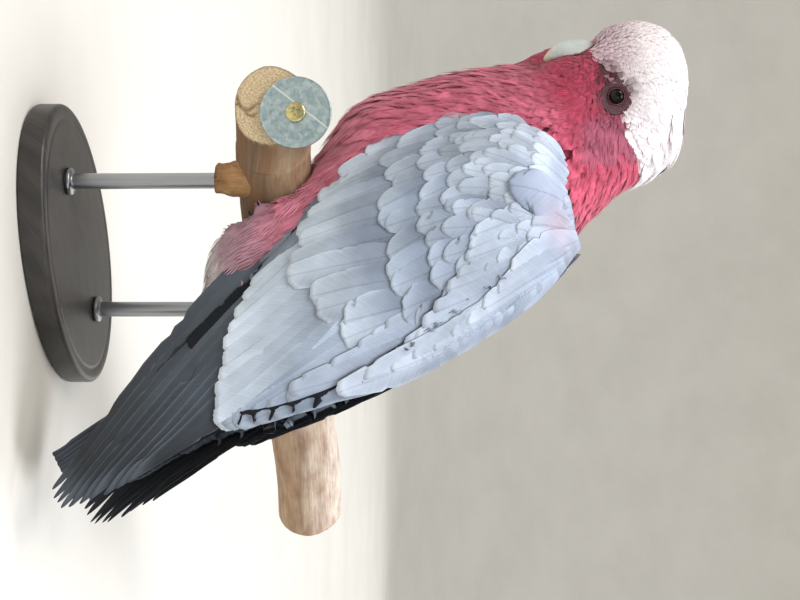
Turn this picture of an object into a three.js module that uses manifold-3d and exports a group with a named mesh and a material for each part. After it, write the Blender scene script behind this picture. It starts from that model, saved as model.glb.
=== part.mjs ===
// A life-size still model of a galah (Eolophus roseicapilla) on a cut length of branch.
// A display stand holds it.
// Millimetres. +Z is up, the bird faces -X, its left side is towards -Y and its plane of symmetry is Y = 0.
// The origin is the centre of the base's underside.
import * as THREE from "three";
import { mergeVertices } from "three/addons/utils/BufferGeometryUtils.js";
import Module from "manifold-3d";

const wasm = await Module();
wasm.setup();

// ---- Driving dimensions ----
const PERCH_TOP = 120; // height of the top of the branch under the bird's feet
const GAP = 0.35; // clearance between neighbouring pieces
const SHORTEST_EDGE = 0.04; // anything shorter is drawn together
const TRUNK_CELL = 9.6; // size of the facets on the trunk and neck
const HEAD_CELL = 5.7; // size of the facets on the head

const HEAD_TURN = 36; // degrees that the head is turned to the bird's left
const HEAD_PIVOT = [-38, 0]; // X and Y of the upright axis that the head turns about

const EYE = { x: -60.7, y: 14.6, z: 130.4, radius: 5.2 }; // in the frame of the unturned head
const EYE_RING = { radius: 10.3, y: 28.2 }; // ball that hollows the dish of bare skin round each eye

const BRANCH = {
  radius: 16.6, // at the feet
  headingDeg: 55, // from +X towards +Y, the way the branch runs away from its sawn end
  sawnEnd: -58.5, // distance along the branch from the bird's middle to the sawn face
  bendAt: 24, // how far before the feet the grain starts to turn towards the sawn face
  farEnd: 186,
  sides: 14,
};
const WASHER = { radius: 15, thickness: 1.6, aside: 2.8, lift: 9.8, sides: 24 };
const SCREW = { headRadius: 4.2, headHeight: 1.3, sides: 18 };
const BASE = { halfLength: 70, halfWidth: 46, height: 12, bevel: 1.5, sides: 36, shift: 15 };
const ROD = { radius: 3.5, spread: 36, sides: 16 };

const FOOT = { centre: 6, spacing: 14, sleeve: 10.5, toeRadius: 3.1, tarsusRadius: 3.6, clawRadius: 1.7 };
const WING_SIDES = 10;
const WING_STEPS = 15;

// ---- Small helpers ----
const rad = THREE.MathUtils.degToRad;
const vec = (x, y, z) => new THREE.Vector3(x, y, z);
const mirrored = (p, side) => vec(p[0], p[1] * side, p[2]);

/** A three.js geometry from points and the numbers of its faces' corners. */
function indexed(points, faces) {
  const places = new Float32Array(points.flatMap((p) => p.toArray()));
  return new THREE.BufferGeometry()
    .setAttribute("position", new THREE.BufferAttribute(places, 3))
    .setIndex(faces);
}

/** A closed three.js geometry as a manifold-3d solid. */
function solidFrom(geometry) {
  const bare = geometry.index ? geometry.toNonIndexed() : geometry.clone();
  for (const name of Object.keys(bare.attributes)) if (name !== "position") bare.deleteAttribute(name);
  const merged = mergeVertices(bare, 1e-4);
  return new wasm.Manifold(
    new wasm.Mesh({
      numProp: 3,
      vertProperties: new Float32Array(merged.attributes.position.array),
      triVerts: new Uint32Array(merged.index.array),
    }),
  );
}

/** A manifold-3d solid as a three.js geometry, the shortest edges left by its cuts drawn together. */
function geometryFrom(solid) {
  const made = solid.getMesh();
  const points = Array.from({ length: made.numVert }, (_, i) =>
    vec(...made.vertProperties.subarray(i * made.numProp, i * made.numProp + 3)),
  );
  const stand = points.map((_, i) => i);
  const rootOf = (i) => (stand[i] === i ? i : (stand[i] = rootOf(stand[i])));
  const corners = Array.from(made.triVerts);
  for (let i = 0; i < corners.length; i++) {
    const [a, b] = [corners[i], corners[i % 3 === 2 ? i - 2 : i + 1]];
    if (points[a].distanceTo(points[b]) < SHORTEST_EDGE) stand[rootOf(a)] = rootOf(b);
  }
  const faces = new Map();
  for (let i = 0; i < corners.length; i += 3) {
    const face = [0, 1, 2].map((k) => rootOf(corners[i + k]));
    if (new Set(face).size < 3) continue;
    const key = face.toSorted((a, b) => a - b).join();
    if (!faces.delete(key)) faces.set(key, face); // two faces that fold flat on each other both go
  }
  return mergeVertices(indexed(points, [...faces.values()].flat()).toNonIndexed(), 1e-4);
}

/** The largest connected body of a solid, without the slivers that a cut can leave. */
function largest(solid) {
  return solid.decompose().reduce((best, body) => (body.volume() > best.volume() ? body : best));
}

/** A closed skin through rings of as many points each, its ends capped at their middles. */
function skinRings(rings) {
  const sides = rings[0].length;
  const middle = (ring) => ring.reduce((sum, p) => sum.add(p), vec(0, 0, 0)).divideScalar(sides);
  const points = [...rings.flat(), middle(rings[0]), middle(rings.at(-1))];
  const first = rings.length * sides;
  const faces = [];
  for (let r = 0; r < rings.length - 1; r++)
    for (let k = 0; k < sides; k++) {
      const [a, b] = [r * sides + k, r * sides + ((k + 1) % sides)];
      faces.push(a, b, b + sides, a, b + sides, a + sides);
    }
  const last = (rings.length - 1) * sides;
  for (let k = 0; k < sides; k++) {
    const next = (k + 1) % sides;
    faces.push(first, next, k, first + 1, last + k, last + next);
  }
  const solid = solidFrom(indexed(points, faces));
  return solid.volume() > 0 ? solid : solidFrom(indexed(points, faces.toReversed()));
}

/**
 * A round limb along a smooth curve.
 * Each station is [point, half width, half depth], and depth lies in the plane of the bend.
 */
function limb(stations, { sides = 10, steps = 8, grow = 0, across = vec(0, 1, 0) } = {}) {
  const path = new THREE.CatmullRomCurve3(stations.map((s) => s[0]), false, "centripetal");
  const size = (k, t) => {
    const at = t * (stations.length - 1);
    const i = Math.min(Math.floor(at), stations.length - 2);
    return THREE.MathUtils.lerp(stations[i][k], stations[i + 1][k], at - i) + grow;
  };
  const rings = [];
  for (let i = 0; i <= steps; i++) {
    const t = i / steps;
    const centre = path.getPoint(t);
    const depth = vec(0, 0, 0).crossVectors(path.getTangent(t), across).normalize();
    const width = vec(0, 0, 0).crossVectors(depth, path.getTangent(t)).normalize();
    rings.push(
      Array.from({ length: sides }, (_, k) => {
        const a = (2 * Math.PI * k) / sides;
        return centre
          .clone()
          .addScaledVector(width, Math.cos(a) * size(1, t))
          .addScaledVector(depth, Math.sin(a) * size(2, t));
      }),
    );
  }
  return skinRings(rings);
}

// ---- Distance fields for the feathered body ----
/**
 * Distance to an ellipsoid, near enough for shaping.
 * pitch turns it about Y, in degrees, nose down for a bird that faces -X.
 */
function egg(centre, semi, pitch = 0) {
  const [c, s] = [Math.cos(rad(pitch)), Math.sin(rad(pitch))];
  return (x, y, z) => {
    const [dx, dy, dz] = [x - centre[0], y - centre[1], z - centre[2]];
    const [u, w] = [c * dx + s * dz, -s * dx + c * dz];
    const near = Math.hypot(u / semi[0], dy / semi[1], w / semi[2]);
    const slope = Math.hypot(u / semi[0] ** 2, dy / semi[1] ** 2, w / semi[2] ** 2);
    return slope < 1e-9 ? -Math.min(...semi) : (near * (near - 1)) / slope;
  };
}

/** The smaller of two distances, blended over a width of k. */
function blendMin(a, b, k) {
  const h = Math.max(k - Math.abs(a - b), 0) / k;
  return Math.min(a, b) - (h * h * k) / 4;
}

/** A field that joins several, each blended into the ones before it. */
function joined(fields, k) {
  return (x, y, z) => fields.reduce((d, f) => (d === null ? f(x, y, z) : blendMin(d, f(x, y, z), k)), null);
}

/** A field with others scooped out of it, the edge rounded over a width of k. */
function scooped(field, cutters, k) {
  return (x, y, z) => cutters.reduce((d, f) => -blendMin(-d, f(x, y, z), k), field(x, y, z));
}

/** The same field on both sides of the plane of symmetry. */
const bothSides = (field) => (x, y, z) => field(x, -Math.abs(y), z);

/** A field turned about an upright axis, as the head is turned on the neck. */
function turned(field, degrees, [px, py]) {
  const [c, s] = [Math.cos(rad(degrees)), Math.sin(rad(degrees))];
  return (x, y, z) => field(px + c * (x - px) + s * (y - py), py - s * (x - px) + c * (y - py), z);
}

/** The closed surface where a field is zero, one vertex in each cell that it crosses. */
function surfaceOf(field, low, high, cell) {
  const count = low.map((v, k) => Math.ceil((high[k] - v) / cell) + 1);
  const at = (i, j, k) => (i * count[1] + j) * count[2] + k;
  const value = new Float32Array(count[0] * count[1] * count[2]);
  for (let i = 0; i < count[0]; i++)
    for (let j = 0; j < count[1]; j++)
      for (let k = 0; k < count[2]; k++)
        value[at(i, j, k)] = field(low[0] + i * cell, low[1] + j * cell, low[2] + k * cell);
  const corners = [0, 1, 2, 3, 4, 5, 6, 7].map((n) => [n & 1, (n >> 1) & 1, (n >> 2) & 1]);
  const edges = [];
  for (let a = 0; a < 8; a++) for (const bit of [1, 2, 4]) if (!(a & bit)) edges.push([a, a | bit]);
  const vertex = new Int32Array(value.length).fill(-1);
  const points = [];
  for (let i = 0; i < count[0] - 1; i++)
    for (let j = 0; j < count[1] - 1; j++)
      for (let k = 0; k < count[2] - 1; k++) {
        const v = corners.map(([a, b, c]) => value[at(i + a, j + b, k + c)]);
        const sum = [0, 0, 0];
        let crossings = 0;
        for (const [a, b] of edges) {
          if (v[a] < 0 === v[b] < 0) continue;
          const t = v[a] / (v[a] - v[b]);
          for (let n = 0; n < 3; n++) sum[n] += corners[a][n] + t * (corners[b][n] - corners[a][n]);
          crossings++;
        }
        if (!crossings) continue;
        vertex[at(i, j, k)] = points.length / 3;
        points.push(...[i, j, k].map((c, n) => low[n] + (c + sum[n] / crossings) * cell));
      }
  const faces = [];
  for (let i = 1; i < count[0] - 1; i++)
    for (let j = 1; j < count[1] - 1; j++)
      for (let k = 1; k < count[2] - 1; k++)
        for (let axis = 0; axis < 3; axis++) {
          const step = [0, 0, 0];
          step[axis] = 1;
          const inside = value[at(i, j, k)] < 0;
          if (inside === value[at(i + step[0], j + step[1], k + step[2])] < 0) continue;
          const [p, q] = [(axis + 1) % 3, (axis + 2) % 3];
          const ring = [[0, 0], [-1, 0], [-1, -1], [0, -1]].map(([a, b]) => {
            const c = [i, j, k];
            c[p] += a;
            c[q] += b;
            return vertex[at(...c)];
          });
          if (!inside) ring.reverse();
          faces.push(ring[0], ring[1], ring[2], ring[0], ring[2], ring[3]);
        }
  return new THREE.BufferGeometry()
    .setAttribute("position", new THREE.BufferAttribute(new Float32Array(points), 3))
    .setIndex(faces);
}

// ---- The bird's own frame: its origin is on the top of the branch between the feet ----
const headShape = joined(
  [
    egg([-60, 0, 138], [30, 22, 26]), // crown
    egg([-73, 0, 141], [15, 18, 18], -8), // forehead over the bill
    egg([-38, 0, 143], [19, 15, 20], 30), // crest, lying back on the nape
    bothSides(egg([-60, -12, 112], [18, 12, 17])), // cheeks, fluffed over the bill's base
  ],
  8,
);
const bodyShape = joined(
  [
    egg([-38, 0, 106], [38, 31, 35], 25), // neck
    egg([-10, 0, 80], [38, 35, 34], 30), // mantle
    egg([-20, 0, 62], [47, 42, 60], 24), // breast
    egg([-19, 0, 30], [35, 37, 25], 12), // belly over the branch
    egg([11, 0, 21], [38, 40, 46], 30), // flanks and back
    egg([30, 0, -15], [28, 30, 33], 36), // rump and vent
    egg([41, 0, -30], [12, 16, 26], 48), // coverts under the tail's root
    bothSides(egg([18, -21, -14], [16, 13, 29], 14)), // feathered thighs
  ],
  16,
);
// The hollow that the bill comes out of.
const billHollow = joined([egg([-86, 0, 110], [12, 8.5, 12.5]), egg([-82, 0, 97], [14, 7.5, 7])], 4);
const birdShape = scooped(
  joined([bodyShape, turned(headShape, HEAD_TURN, HEAD_PIVOT)], 12),
  [turned(billHollow, HEAD_TURN, HEAD_PIVOT)],
  2,
);
const BIRD_LOW = [-112, -62, -92];
const BIRD_HIGH = [92, 62, 190];

/** The plumage as one solid, grown outwards by some millimetres. */
function plumage(grow, cell) {
  return solidFrom(surfaceOf((x, y, z) => birdShape(x, y, z) - grow, BIRD_LOW, BIRD_HIGH, cell));
}

/**
 * The two sides of a solid cut by a plane through a point, with a gap between them.
 * The side that the normal points to comes first.
 */
function parted(solid, point, normal) {
  const n = vec(...normal).normalize();
  const offset = n.dot(vec(...point));
  return [
    solid.trimByPlane([n.x, n.y, n.z], offset + GAP / 2),
    solid.trimByPlane([-n.x, -n.y, -n.z], GAP / 2 - offset),
  ];
}

const toHead = new THREE.Matrix4()
  .makeTranslation(HEAD_PIVOT[0], HEAD_PIVOT[1], 0)
  .multiply(new THREE.Matrix4().makeRotationZ(rad(HEAD_TURN)))
  .multiply(new THREE.Matrix4().makeTranslation(-HEAD_PIVOT[0], -HEAD_PIVOT[1], 0));
/** A point of the unturned head, turned with the head. */
const onHead = (x, y, z) => vec(x, y, z).applyMatrix4(toHead);

// ---- Bill and eyes ----
const headAcross = vec(0, 1, 0).applyAxisAngle(vec(0, 0, 1), rad(HEAD_TURN));

/** The upper mandible, hooked down over the lower one. */
function upperBill(grow = 0) {
  return limb(
    [
      [onHead(-66, 0, 119), 8, 8],
      [onHead(-74, 0, 117), 8, 8],
      [onHead(-75.9, 0, 110.6), 6.6, 6.2],
      [onHead(-75.4, 0, 105.6), 4.7, 4.3],
      [onHead(-73.4, 0, 100), 0.9, 0.9],
    ],
    { sides: 12, steps: 8, grow, across: headAcross },
  );
}

/** The lower mandible, mostly hidden behind the upper one. */
function lowerBill(grow = 0) {
  return limb(
    [
      [onHead(-60, 0, 108), 6, 5.5],
      [onHead(-67, 0, 102), 5.6, 5],
      [onHead(-72.8, 0, 99.8), 3.6, 2.2],
    ],
    { sides: 10, steps: 4, grow, across: headAcross },
  );
}

/** A ball on one side of the head, level with the eye. */
function ballByEye(side, y, radius) {
  const centre = onHead(EYE.x, y * side, EYE.z);
  return solidFrom(new THREE.SphereGeometry(radius, 12, 8).translate(centre.x, centre.y, centre.z));
}

// ---- Wings: sections from the bend of the wing to its tip ----
// Each row is the left wing's front edge, its back edge, the outward bulge between them and the thickness.
const WING_SECTIONS = [
  { front: [-15, -33, 104], back: [4, -29, 106], bulge: 2, thick: 6 },
  { front: [-28, -38, 90], back: [20, -24, 96], bulge: 12, thick: 14 },
  { front: [-28.5, -41, 67], back: [38, -17, 74], bulge: 17, thick: 16 },
  { front: [-21, -42, 40], back: [57, -12, 47], bulge: 19, thick: 17 },
  { front: [-8, -41, 18], back: [76, -10, 21], bulge: 18, thick: 15 },
  { front: [16, -39, -4], back: [88, -12, -3], bulge: 14, thick: 12 },
  { front: [41, -36, -28], back: [94.5, -17, -27], bulge: 9, thick: 9 },
  { front: [62, -32, -50], back: [103, -20, -46], bulge: 5, thick: 6 },
  { front: [92, -28, -75], back: [117, -22, -69], bulge: 3, thick: 4.5 },
  { front: [115, -26, -92], back: [129, -23, -88], bulge: 1, thick: 3.5 },
  { front: [130.5, -26, -100], back: [133, -25, -98], bulge: 0, thick: 2.6 },
];

/** A folded wing. side is -1 for the left wing and 1 for the right. */
function wing(side) {
  const [front, back] = ["front", "back"].map((edge) => {
    const points = WING_SECTIONS.map((section) => mirrored(section[edge], -side));
    return new THREE.CatmullRomCurve3(points, false, "centripetal");
  });
  const outward = vec(0, side, 0);
  const rings = [];
  for (let i = 0; i <= WING_STEPS; i++) {
    const t = i / WING_STEPS;
    const at = t * (WING_SECTIONS.length - 1);
    const n = Math.min(Math.floor(at), WING_SECTIONS.length - 2);
    const size = (key) => THREE.MathUtils.lerp(WING_SECTIONS[n][key], WING_SECTIONS[n + 1][key], at - n);
    const [a, b] = [front.getPoint(t), back.getPoint(t)];
    rings.push(
      Array.from({ length: WING_SIDES }, (_, k) => {
        const turn = (2 * Math.PI * k) / WING_SIDES;
        const across = (1 - Math.cos(turn)) / 2;
        const height = Math.sin(turn);
        const arch = size("bulge") * (1 - (2 * across - 1) ** 2);
        return a
          .clone()
          .lerp(b, across)
          .addScaledVector(outward, arch + (height * size("thick")) / 2);
      }),
    );
  }
  return skinRings(rings);
}

// ---- Tail ----
const TAIL = {
  root: [43, 0, -8],
  tip: [114.5, 0, -104],
  rootHalfWidth: 12,
  tipHalfWidth: 19,
  rootThick: 9,
  tipThick: 3.2,
  arch: 5,
};

function tail() {
  const [root, tip] = [vec(...TAIL.root), vec(...TAIL.tip)];
  const along = tip.clone().sub(root).normalize();
  const lift = vec(-along.z, 0, along.x);
  const steps = 6;
  const sides = 16;
  const rings = [];
  for (let i = 0; i <= steps; i++) {
    const t = i / steps;
    const spread = Math.sin((Math.min(t, 0.94) * Math.PI) / 1.9);
    const half = THREE.MathUtils.lerp(TAIL.rootHalfWidth, TAIL.tipHalfWidth, spread);
    const thick = THREE.MathUtils.lerp(TAIL.rootThick, TAIL.tipThick, Math.sqrt(t));
    const taper = t > 0.9 ? 0.93 : 1;
    rings.push(
      Array.from({ length: sides }, (_, k) => {
        const a = (2 * Math.PI * k) / sides;
        const y = Math.cos(a) * half * taper;
        const drop = TAIL.arch * (y / half) ** 2;
        const rounding = t === 1 ? 5 * (y / half) ** 2 : 0;
        return root
          .clone()
          .lerp(tip, t)
          .addScaledVector(along, -rounding)
          .addScaledVector(lift, (Math.sin(a) * thick) / 2 - drop)
          .add(vec(0, y, 0));
      }),
    );
  }
  return skinRings(rings);
}

// ---- Branch, washer and screw ----
const branchAlong = vec(Math.cos(rad(BRANCH.headingDeg)), Math.sin(rad(BRANCH.headingDeg)), 0);
const branchAside = vec(-branchAlong.y, branchAlong.x, 0); // level, towards the bird's front
/** A point by how far it lies along the branch from the feet, aside, and over the branch's axis. */
function byBranch(along, aside, height) {
  return vec(0, 0, height - BRANCH.radius)
    .addScaledVector(branchAlong, along)
    .addScaledVector(branchAside, aside);
}

/** The branch's radius and the wander and rise of its axis, at a distance along it. */
function branchAt(along) {
  const away = Math.max(0, Math.abs(along) - 34);
  return {
    radius: BRANCH.radius + 0.00012 * away * away * (along < 0 ? 4 : 0),
    wander: 2.4 * Math.sin(away / 48) * Math.sign(along),
    rise: along < 0 ? 0.09 * away : 1.2 * Math.sin(away / 48),
  };
}

// The sawn face is level and looks between the branch's own end and the bird's left side.
const sawnNormal = vec(0.26, -0.966, 0).normalize();
const sawnAcross = vec(sawnNormal.y, -sawnNormal.x, 0);
const sawnAt = branchAt(BRANCH.sawnEnd);
const sawnCentre = byBranch(BRANCH.sawnEnd, sawnAt.wander, sawnAt.rise);

function branch(grow = 0) {
  const steps = 12;
  const rings = [];
  for (let i = 0; i <= steps; i++) {
    const along = THREE.MathUtils.lerp(BRANCH.sawnEnd - grow, BRANCH.farEnd, i / steps);
    const { radius, wander, rise } = branchAt(along);
    const slant = THREE.MathUtils.smoothstep(-along, BRANCH.bendAt, -BRANCH.sawnEnd);
    const aside = branchAside.clone().lerp(sawnAcross, slant).normalize();
    rings.push(
      Array.from({ length: BRANCH.sides }, (_, k) => {
        const a = (2 * Math.PI * (k + 0.5)) / BRANCH.sides;
        const bump = Math.abs(along) > 40 ? 0.5 * Math.sin(3 * a + along / 17) : 0;
        const reach = radius + bump + grow;
        const height = reach * Math.sin(a) + rise;
        return byBranch(along, wander, height).addScaledVector(aside, reach * Math.cos(a));
      }),
    );
  }
  const stub = limb(
    [
      [byBranch(-25, -4, -7), 9, 8],
      [byBranch(-27, -8, -17), 8, 7],
      [byBranch(-28, -9, -24), 5, 4.5],
    ],
    { sides: 10, steps: 3, grow, across: branchAlong },
  );
  return skinRings(rings).add(stub);
}

/** A round piece that stands on the sawn face, from one distance off it to another. */
function onSawnFace(radius, from, to, sides) {
  const centre = sawnCentre.clone().addScaledVector(sawnAcross, -WASHER.aside);
  centre.z += WASHER.lift;
  return new THREE.CylinderGeometry(radius, radius, to - from, sides)
    .translate(0, (from + to) / 2, 0)
    .applyQuaternion(new THREE.Quaternion().setFromUnitVectors(vec(0, 1, 0), sawnNormal))
    .translate(centre.x, centre.y, centre.z);
}

// ---- Feet: two toes forward and two back on each, wrapped round the branch ----
const TOES = [
  { name: "toe_2", forward: 1, fan: 5, wrap: 96 },
  { name: "toe_3", forward: 1, fan: -6, wrap: 112 },
  { name: "toe_1", forward: -1, fan: 5, wrap: 74 },
  { name: "toe_4", forward: -1, fan: -6, wrap: 92 },
];

/** A point on the grip round the branch: along it, angle round from the top, and clearance off its bark. */
function grip(along, degrees, off) {
  const reach = BRANCH.radius + off;
  return byBranch(along, reach * Math.sin(rad(degrees)), reach * Math.cos(rad(degrees)));
}

/** One toe, from the middle of the foot round to the root of its claw. */
function toe(side, spec) {
  const foot = FOOT.centre + side * FOOT.spacing;
  const radius = FOOT.toeRadius;
  const off = radius + GAP;
  const stations = [0, 0.33, 0.66, 1].map((t) => {
    const along = foot + spec.fan * t;
    const size = radius * (1 - 0.22 * t);
    return [grip(along, spec.forward * spec.wrap * t, off - (radius - size)), size, size];
  });
  return limb(stations, { sides: 6, steps: 4, across: branchAlong });
}

/** A curved claw that starts just past the end of its toe. */
function claw(side, spec) {
  const foot = FOOT.centre + side * FOOT.spacing;
  const stations = [0, 0.4, 0.75, 1].map((t) => {
    const size = FOOT.clawRadius * (1 - 0.78 * t);
    const off = size + GAP + 1.6 * Math.sin(Math.PI * t);
    return [grip(foot + spec.fan, spec.forward * (spec.wrap + 3 + 35 * t), off), size, size];
  });
  return limb(stations, { sides: 6, steps: 4, across: branchAlong });
}

function tarsus(side, grow = 0) {
  const foot = FOOT.centre + side * FOOT.spacing;
  const ankle = grip(foot, 0, FOOT.toeRadius + GAP);
  return limb(
    [
      [ankle.clone().add(vec(0, 0, -1)), FOOT.tarsusRadius, FOOT.tarsusRadius],
      [ankle.clone().add(vec(4, 0, 8)), FOOT.tarsusRadius * 0.9, FOOT.tarsusRadius * 0.9],
      [ankle.clone().add(vec(9, -side * 1, 18)), FOOT.tarsusRadius, FOOT.tarsusRadius],
    ],
    { sides: 6, steps: 2, grow, across: branchAlong },
  );
}

/** The bare part of one leg: tarsus and toes in one piece. */
function footSolid(side) {
  return TOES.reduce((whole, spec) => whole.add(toe(side, spec)), tarsus(side));
}

// ---- Cutting the plumage into its named parts ----
const SIDES = [
  { name: "left", side: -1 },
  { name: "right", side: 1 },
];
const NECK_CUT = { point: [-75, 0, 92], normal: [-0.4, 0, 0.92] };
const TRUNK_CUT = { point: [-75, 0, 66], normal: [-0.48, 0, 0.88] };

/** The room that the plumage leaves round one foot: round the branch, and round the bare leg above. */
function footRoom(side) {
  const foot = FOOT.centre + side * FOOT.spacing;
  const reach = BRANCH.radius + 2 * FOOT.toeRadius + 3 * GAP;
  const middle = byBranch(foot, 0, 0);
  const sleeve = new THREE.CylinderGeometry(reach, reach, 2 * FOOT.sleeve, 16)
    .applyQuaternion(new THREE.Quaternion().setFromUnitVectors(vec(0, 1, 0), branchAlong))
    .translate(middle.x, middle.y, middle.z);
  return solidFrom(sleeve).add(tarsus(side, GAP));
}

/** Plumage with the branch and both feet taken out of it. */
const clearOfPerch = (solid) =>
  SIDES.reduce((rest, { side }) => rest.subtract(footRoom(side)), solid.subtract(branch(GAP)));

const eyeHollows = SIDES.flatMap(({ side }) => [
  ballByEye(side, EYE.y, EYE.radius + GAP),
  ballByEye(side, EYE_RING.y, EYE_RING.radius),
]);
const headAll = eyeHollows.reduce(
  (s, cutter) => s.subtract(cutter),
  parted(plumage(0, HEAD_CELL), NECK_CUT.point, NECK_CUT.normal)[0],
);
const bodyAll = parted(plumage(0, TRUNK_CELL), NECK_CUT.point, NECK_CUT.normal)[1];
const [neckPart, trunkPart] = parted(bodyAll, TRUNK_CUT.point, TRUNK_CUT.normal);
const trunk = largest(clearOfPerch(trunkPart));
const [, aroundBody] = parted(plumage(GAP, TRUNK_CELL), NECK_CUT.point, NECK_CUT.normal);
const [aroundHead] = parted(plumage(GAP, HEAD_CELL), NECK_CUT.point, NECK_CUT.normal);
/** What stands clear of the plumage of the whole bird. */
const outside = (solid) => largest(solid.subtract(aroundBody).subtract(aroundHead));
const capNormal = onHead(HEAD_PIVOT[0] - 0.11, 0, 1).sub(onHead(HEAD_PIVOT[0], 0, 0));
const capPoint = onHead(-60, 0, 139.3);
const crown = parted(largest(headAll), capPoint.toArray(), capNormal.toArray());

// ---- Materials, one for each kind of surface ----
const material = (color, roughness, metalness = 0) =>
  new THREE.MeshStandardMaterial({ color, roughness, metalness });
const MATERIALS = {
  pink: material(0xc8586c, 0.85),
  cap: material(0xf1e3e8, 0.85),
  grey: material(0xa9b0bb, 0.8),
  flight: material(0x4c525c, 0.7),
  bill: material(0xd8d8cc, 0.4),
  eye: material(0x17100f, 0.08),
  foot: material(0x75717a, 0.75),
  claw: material(0x2a2628, 0.4),
  bark: material(0xc9a87c, 0.8),
  zinc: material(0x9fb3b4, 0.35, 1),
  brass: material(0xc9bd84, 0.35, 1),
  stand: material(0x2c2b2a, 0.45),
  rod: material(0x8d8f92, 0.3, 1),
};

const bird = new THREE.Group();
bird.position.copy(byBranch(-BASE.shift, 0, BRANCH.radius + PERCH_TOP));
/** Adds one named piece to a group. */
function add(group, name, geometry, look) {
  const mesh = new THREE.Mesh(geometry, MATERIALS[look]);
  mesh.name = name;
  group.add(mesh);
}

add(bird, "head", geometryFrom(largest(crown[1])), "pink");
add(bird, "crest", geometryFrom(largest(crown[0])), "cap");
add(bird, "neck", geometryFrom(largest(neckPart)), "pink");
add(bird, "trunk", geometryFrom(trunk), "pink");
add(bird, "bill_upper", geometryFrom(outside(upperBill())), "bill");
add(bird, "bill_lower", geometryFrom(outside(lowerBill().subtract(upperBill(GAP)))), "bill");
add(bird, "tail", geometryFrom(outside(tail())), "flight");

// Where the flight feathers come out from under the coverts, the wing is parted once more.
const WING_CUTS = [
  { point: [10, 0, 28], normal: [-0.55, 0, 0.835] },
  { point: [84, 0, -36], normal: [-0.62, 0, 0.785] },
];
for (const { name, side } of SIDES) {
  const whole = outside(wing(side)).subtract(branch(GAP));
  const [coverts, rest] = parted(whole, WING_CUTS[0].point, WING_CUTS[0].normal);
  const [secondaries, primaries] = parted(rest, WING_CUTS[1].point, WING_CUTS[1].normal);
  add(bird, `wing_${name}_coverts`, geometryFrom(largest(coverts)), "grey");
  add(bird, `wing_${name}_secondaries`, geometryFrom(largest(secondaries)), "grey");
  add(bird, `wing_${name}_primaries`, geometryFrom(largest(primaries)), "flight");
  add(bird, `eye_${name}`, geometryFrom(ballByEye(side, EYE.y, EYE.radius)), "eye");
  add(bird, `foot_${name}`, geometryFrom(footSolid(side).subtract(branch(GAP / 2))), "foot");
  for (const spec of TOES)
    add(bird, `claw_${name}_${spec.name}`, geometryFrom(claw(side, spec)), "claw");
}

// ---- Perch ----
add(bird, "perch_branch", geometryFrom(branch()), "bark");
add(bird, "perch_washer", onSawnFace(WASHER.radius, GAP, GAP + WASHER.thickness, WASHER.sides), "zinc");
const screwFrom = 2 * GAP + WASHER.thickness;
const screwTo = screwFrom + SCREW.headHeight;
add(bird, "perch_screw", onSawnFace(SCREW.headRadius, screwFrom, screwTo, SCREW.sides), "brass");

// ---- Stand ----
const stand = new THREE.Group();
stand.rotation.z = rad(BRANCH.headingDeg);
/** The oval base: a turned plate with rounded edges, stretched along the branch. */
function basePlate() {
  const { halfLength, halfWidth, height, bevel, sides } = BASE;
  const profile = [
    [0, 0],
    [halfWidth - bevel, 0],
    [halfWidth, bevel],
    [halfWidth, height - bevel],
    [halfWidth - bevel, height],
    [0, height],
  ].map(([x, y]) => new THREE.Vector2(x, y));
  return new THREE.LatheGeometry(profile, sides).rotateX(Math.PI / 2).scale(halfLength / halfWidth, 1, 1);
}
add(stand, "stand_base", geometryFrom(solidFrom(basePlate())), "stand");
const perch = branch(GAP)
  .translate([0, 0, BRANCH.radius])
  .rotate([0, 0, -BRANCH.headingDeg])
  .translate([-BASE.shift, 0, PERCH_TOP - BRANCH.radius]);
for (const [name, along] of [["front", -ROD.spread], ["back", ROD.spread]]) {
  const foot = BASE.height + GAP;
  const top = PERCH_TOP - BRANCH.radius;
  const rod = solidFrom(
    new THREE.CylinderGeometry(ROD.radius, ROD.radius, top - foot, ROD.sides)
      .rotateX(Math.PI / 2)
      .translate(along, branchAt(along + BASE.shift).wander, (top + foot) / 2),
  );
  add(stand, `stand_rod_${name}`, geometryFrom(largest(rod.subtract(perch))), "rod");
}

const galah = new THREE.Group();
galah.add(bird, stand);
export default galah;
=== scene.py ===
"""The looks of a life-size still model of a galah on a cut length of branch, held by a display stand.

Sizes are in millimetres. The bird's own frame has its origin on top of the branch between the feet,
with the bird facing -X and its left side towards -Y. Meshes are written in metres, in the CAD frame.
"""

import logging
import math
from dataclasses import dataclass, field
from enum import Enum
from itertools import product
from operator import attrgetter
from typing import Iterable

import bmesh
import bpy
import numpy as np
from mathutils import Matrix, Vector
from mathutils import noise as fractal
from mathutils.bvhtree import BVHTree


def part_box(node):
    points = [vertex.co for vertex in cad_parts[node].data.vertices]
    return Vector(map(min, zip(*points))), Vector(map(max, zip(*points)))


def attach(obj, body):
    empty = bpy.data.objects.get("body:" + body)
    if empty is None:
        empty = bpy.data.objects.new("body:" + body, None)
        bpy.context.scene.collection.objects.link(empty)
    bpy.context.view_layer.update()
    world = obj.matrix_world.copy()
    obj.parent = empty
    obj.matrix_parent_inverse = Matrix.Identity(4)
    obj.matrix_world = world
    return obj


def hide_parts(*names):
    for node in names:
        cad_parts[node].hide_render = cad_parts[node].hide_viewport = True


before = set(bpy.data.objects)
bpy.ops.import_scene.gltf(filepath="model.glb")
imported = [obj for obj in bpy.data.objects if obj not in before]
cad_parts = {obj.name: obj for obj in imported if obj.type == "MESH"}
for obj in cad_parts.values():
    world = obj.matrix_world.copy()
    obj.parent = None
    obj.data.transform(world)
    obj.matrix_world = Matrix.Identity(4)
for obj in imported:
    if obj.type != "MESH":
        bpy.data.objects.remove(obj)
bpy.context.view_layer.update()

logging.basicConfig(level=logging.INFO, format="%(message)s")
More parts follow.
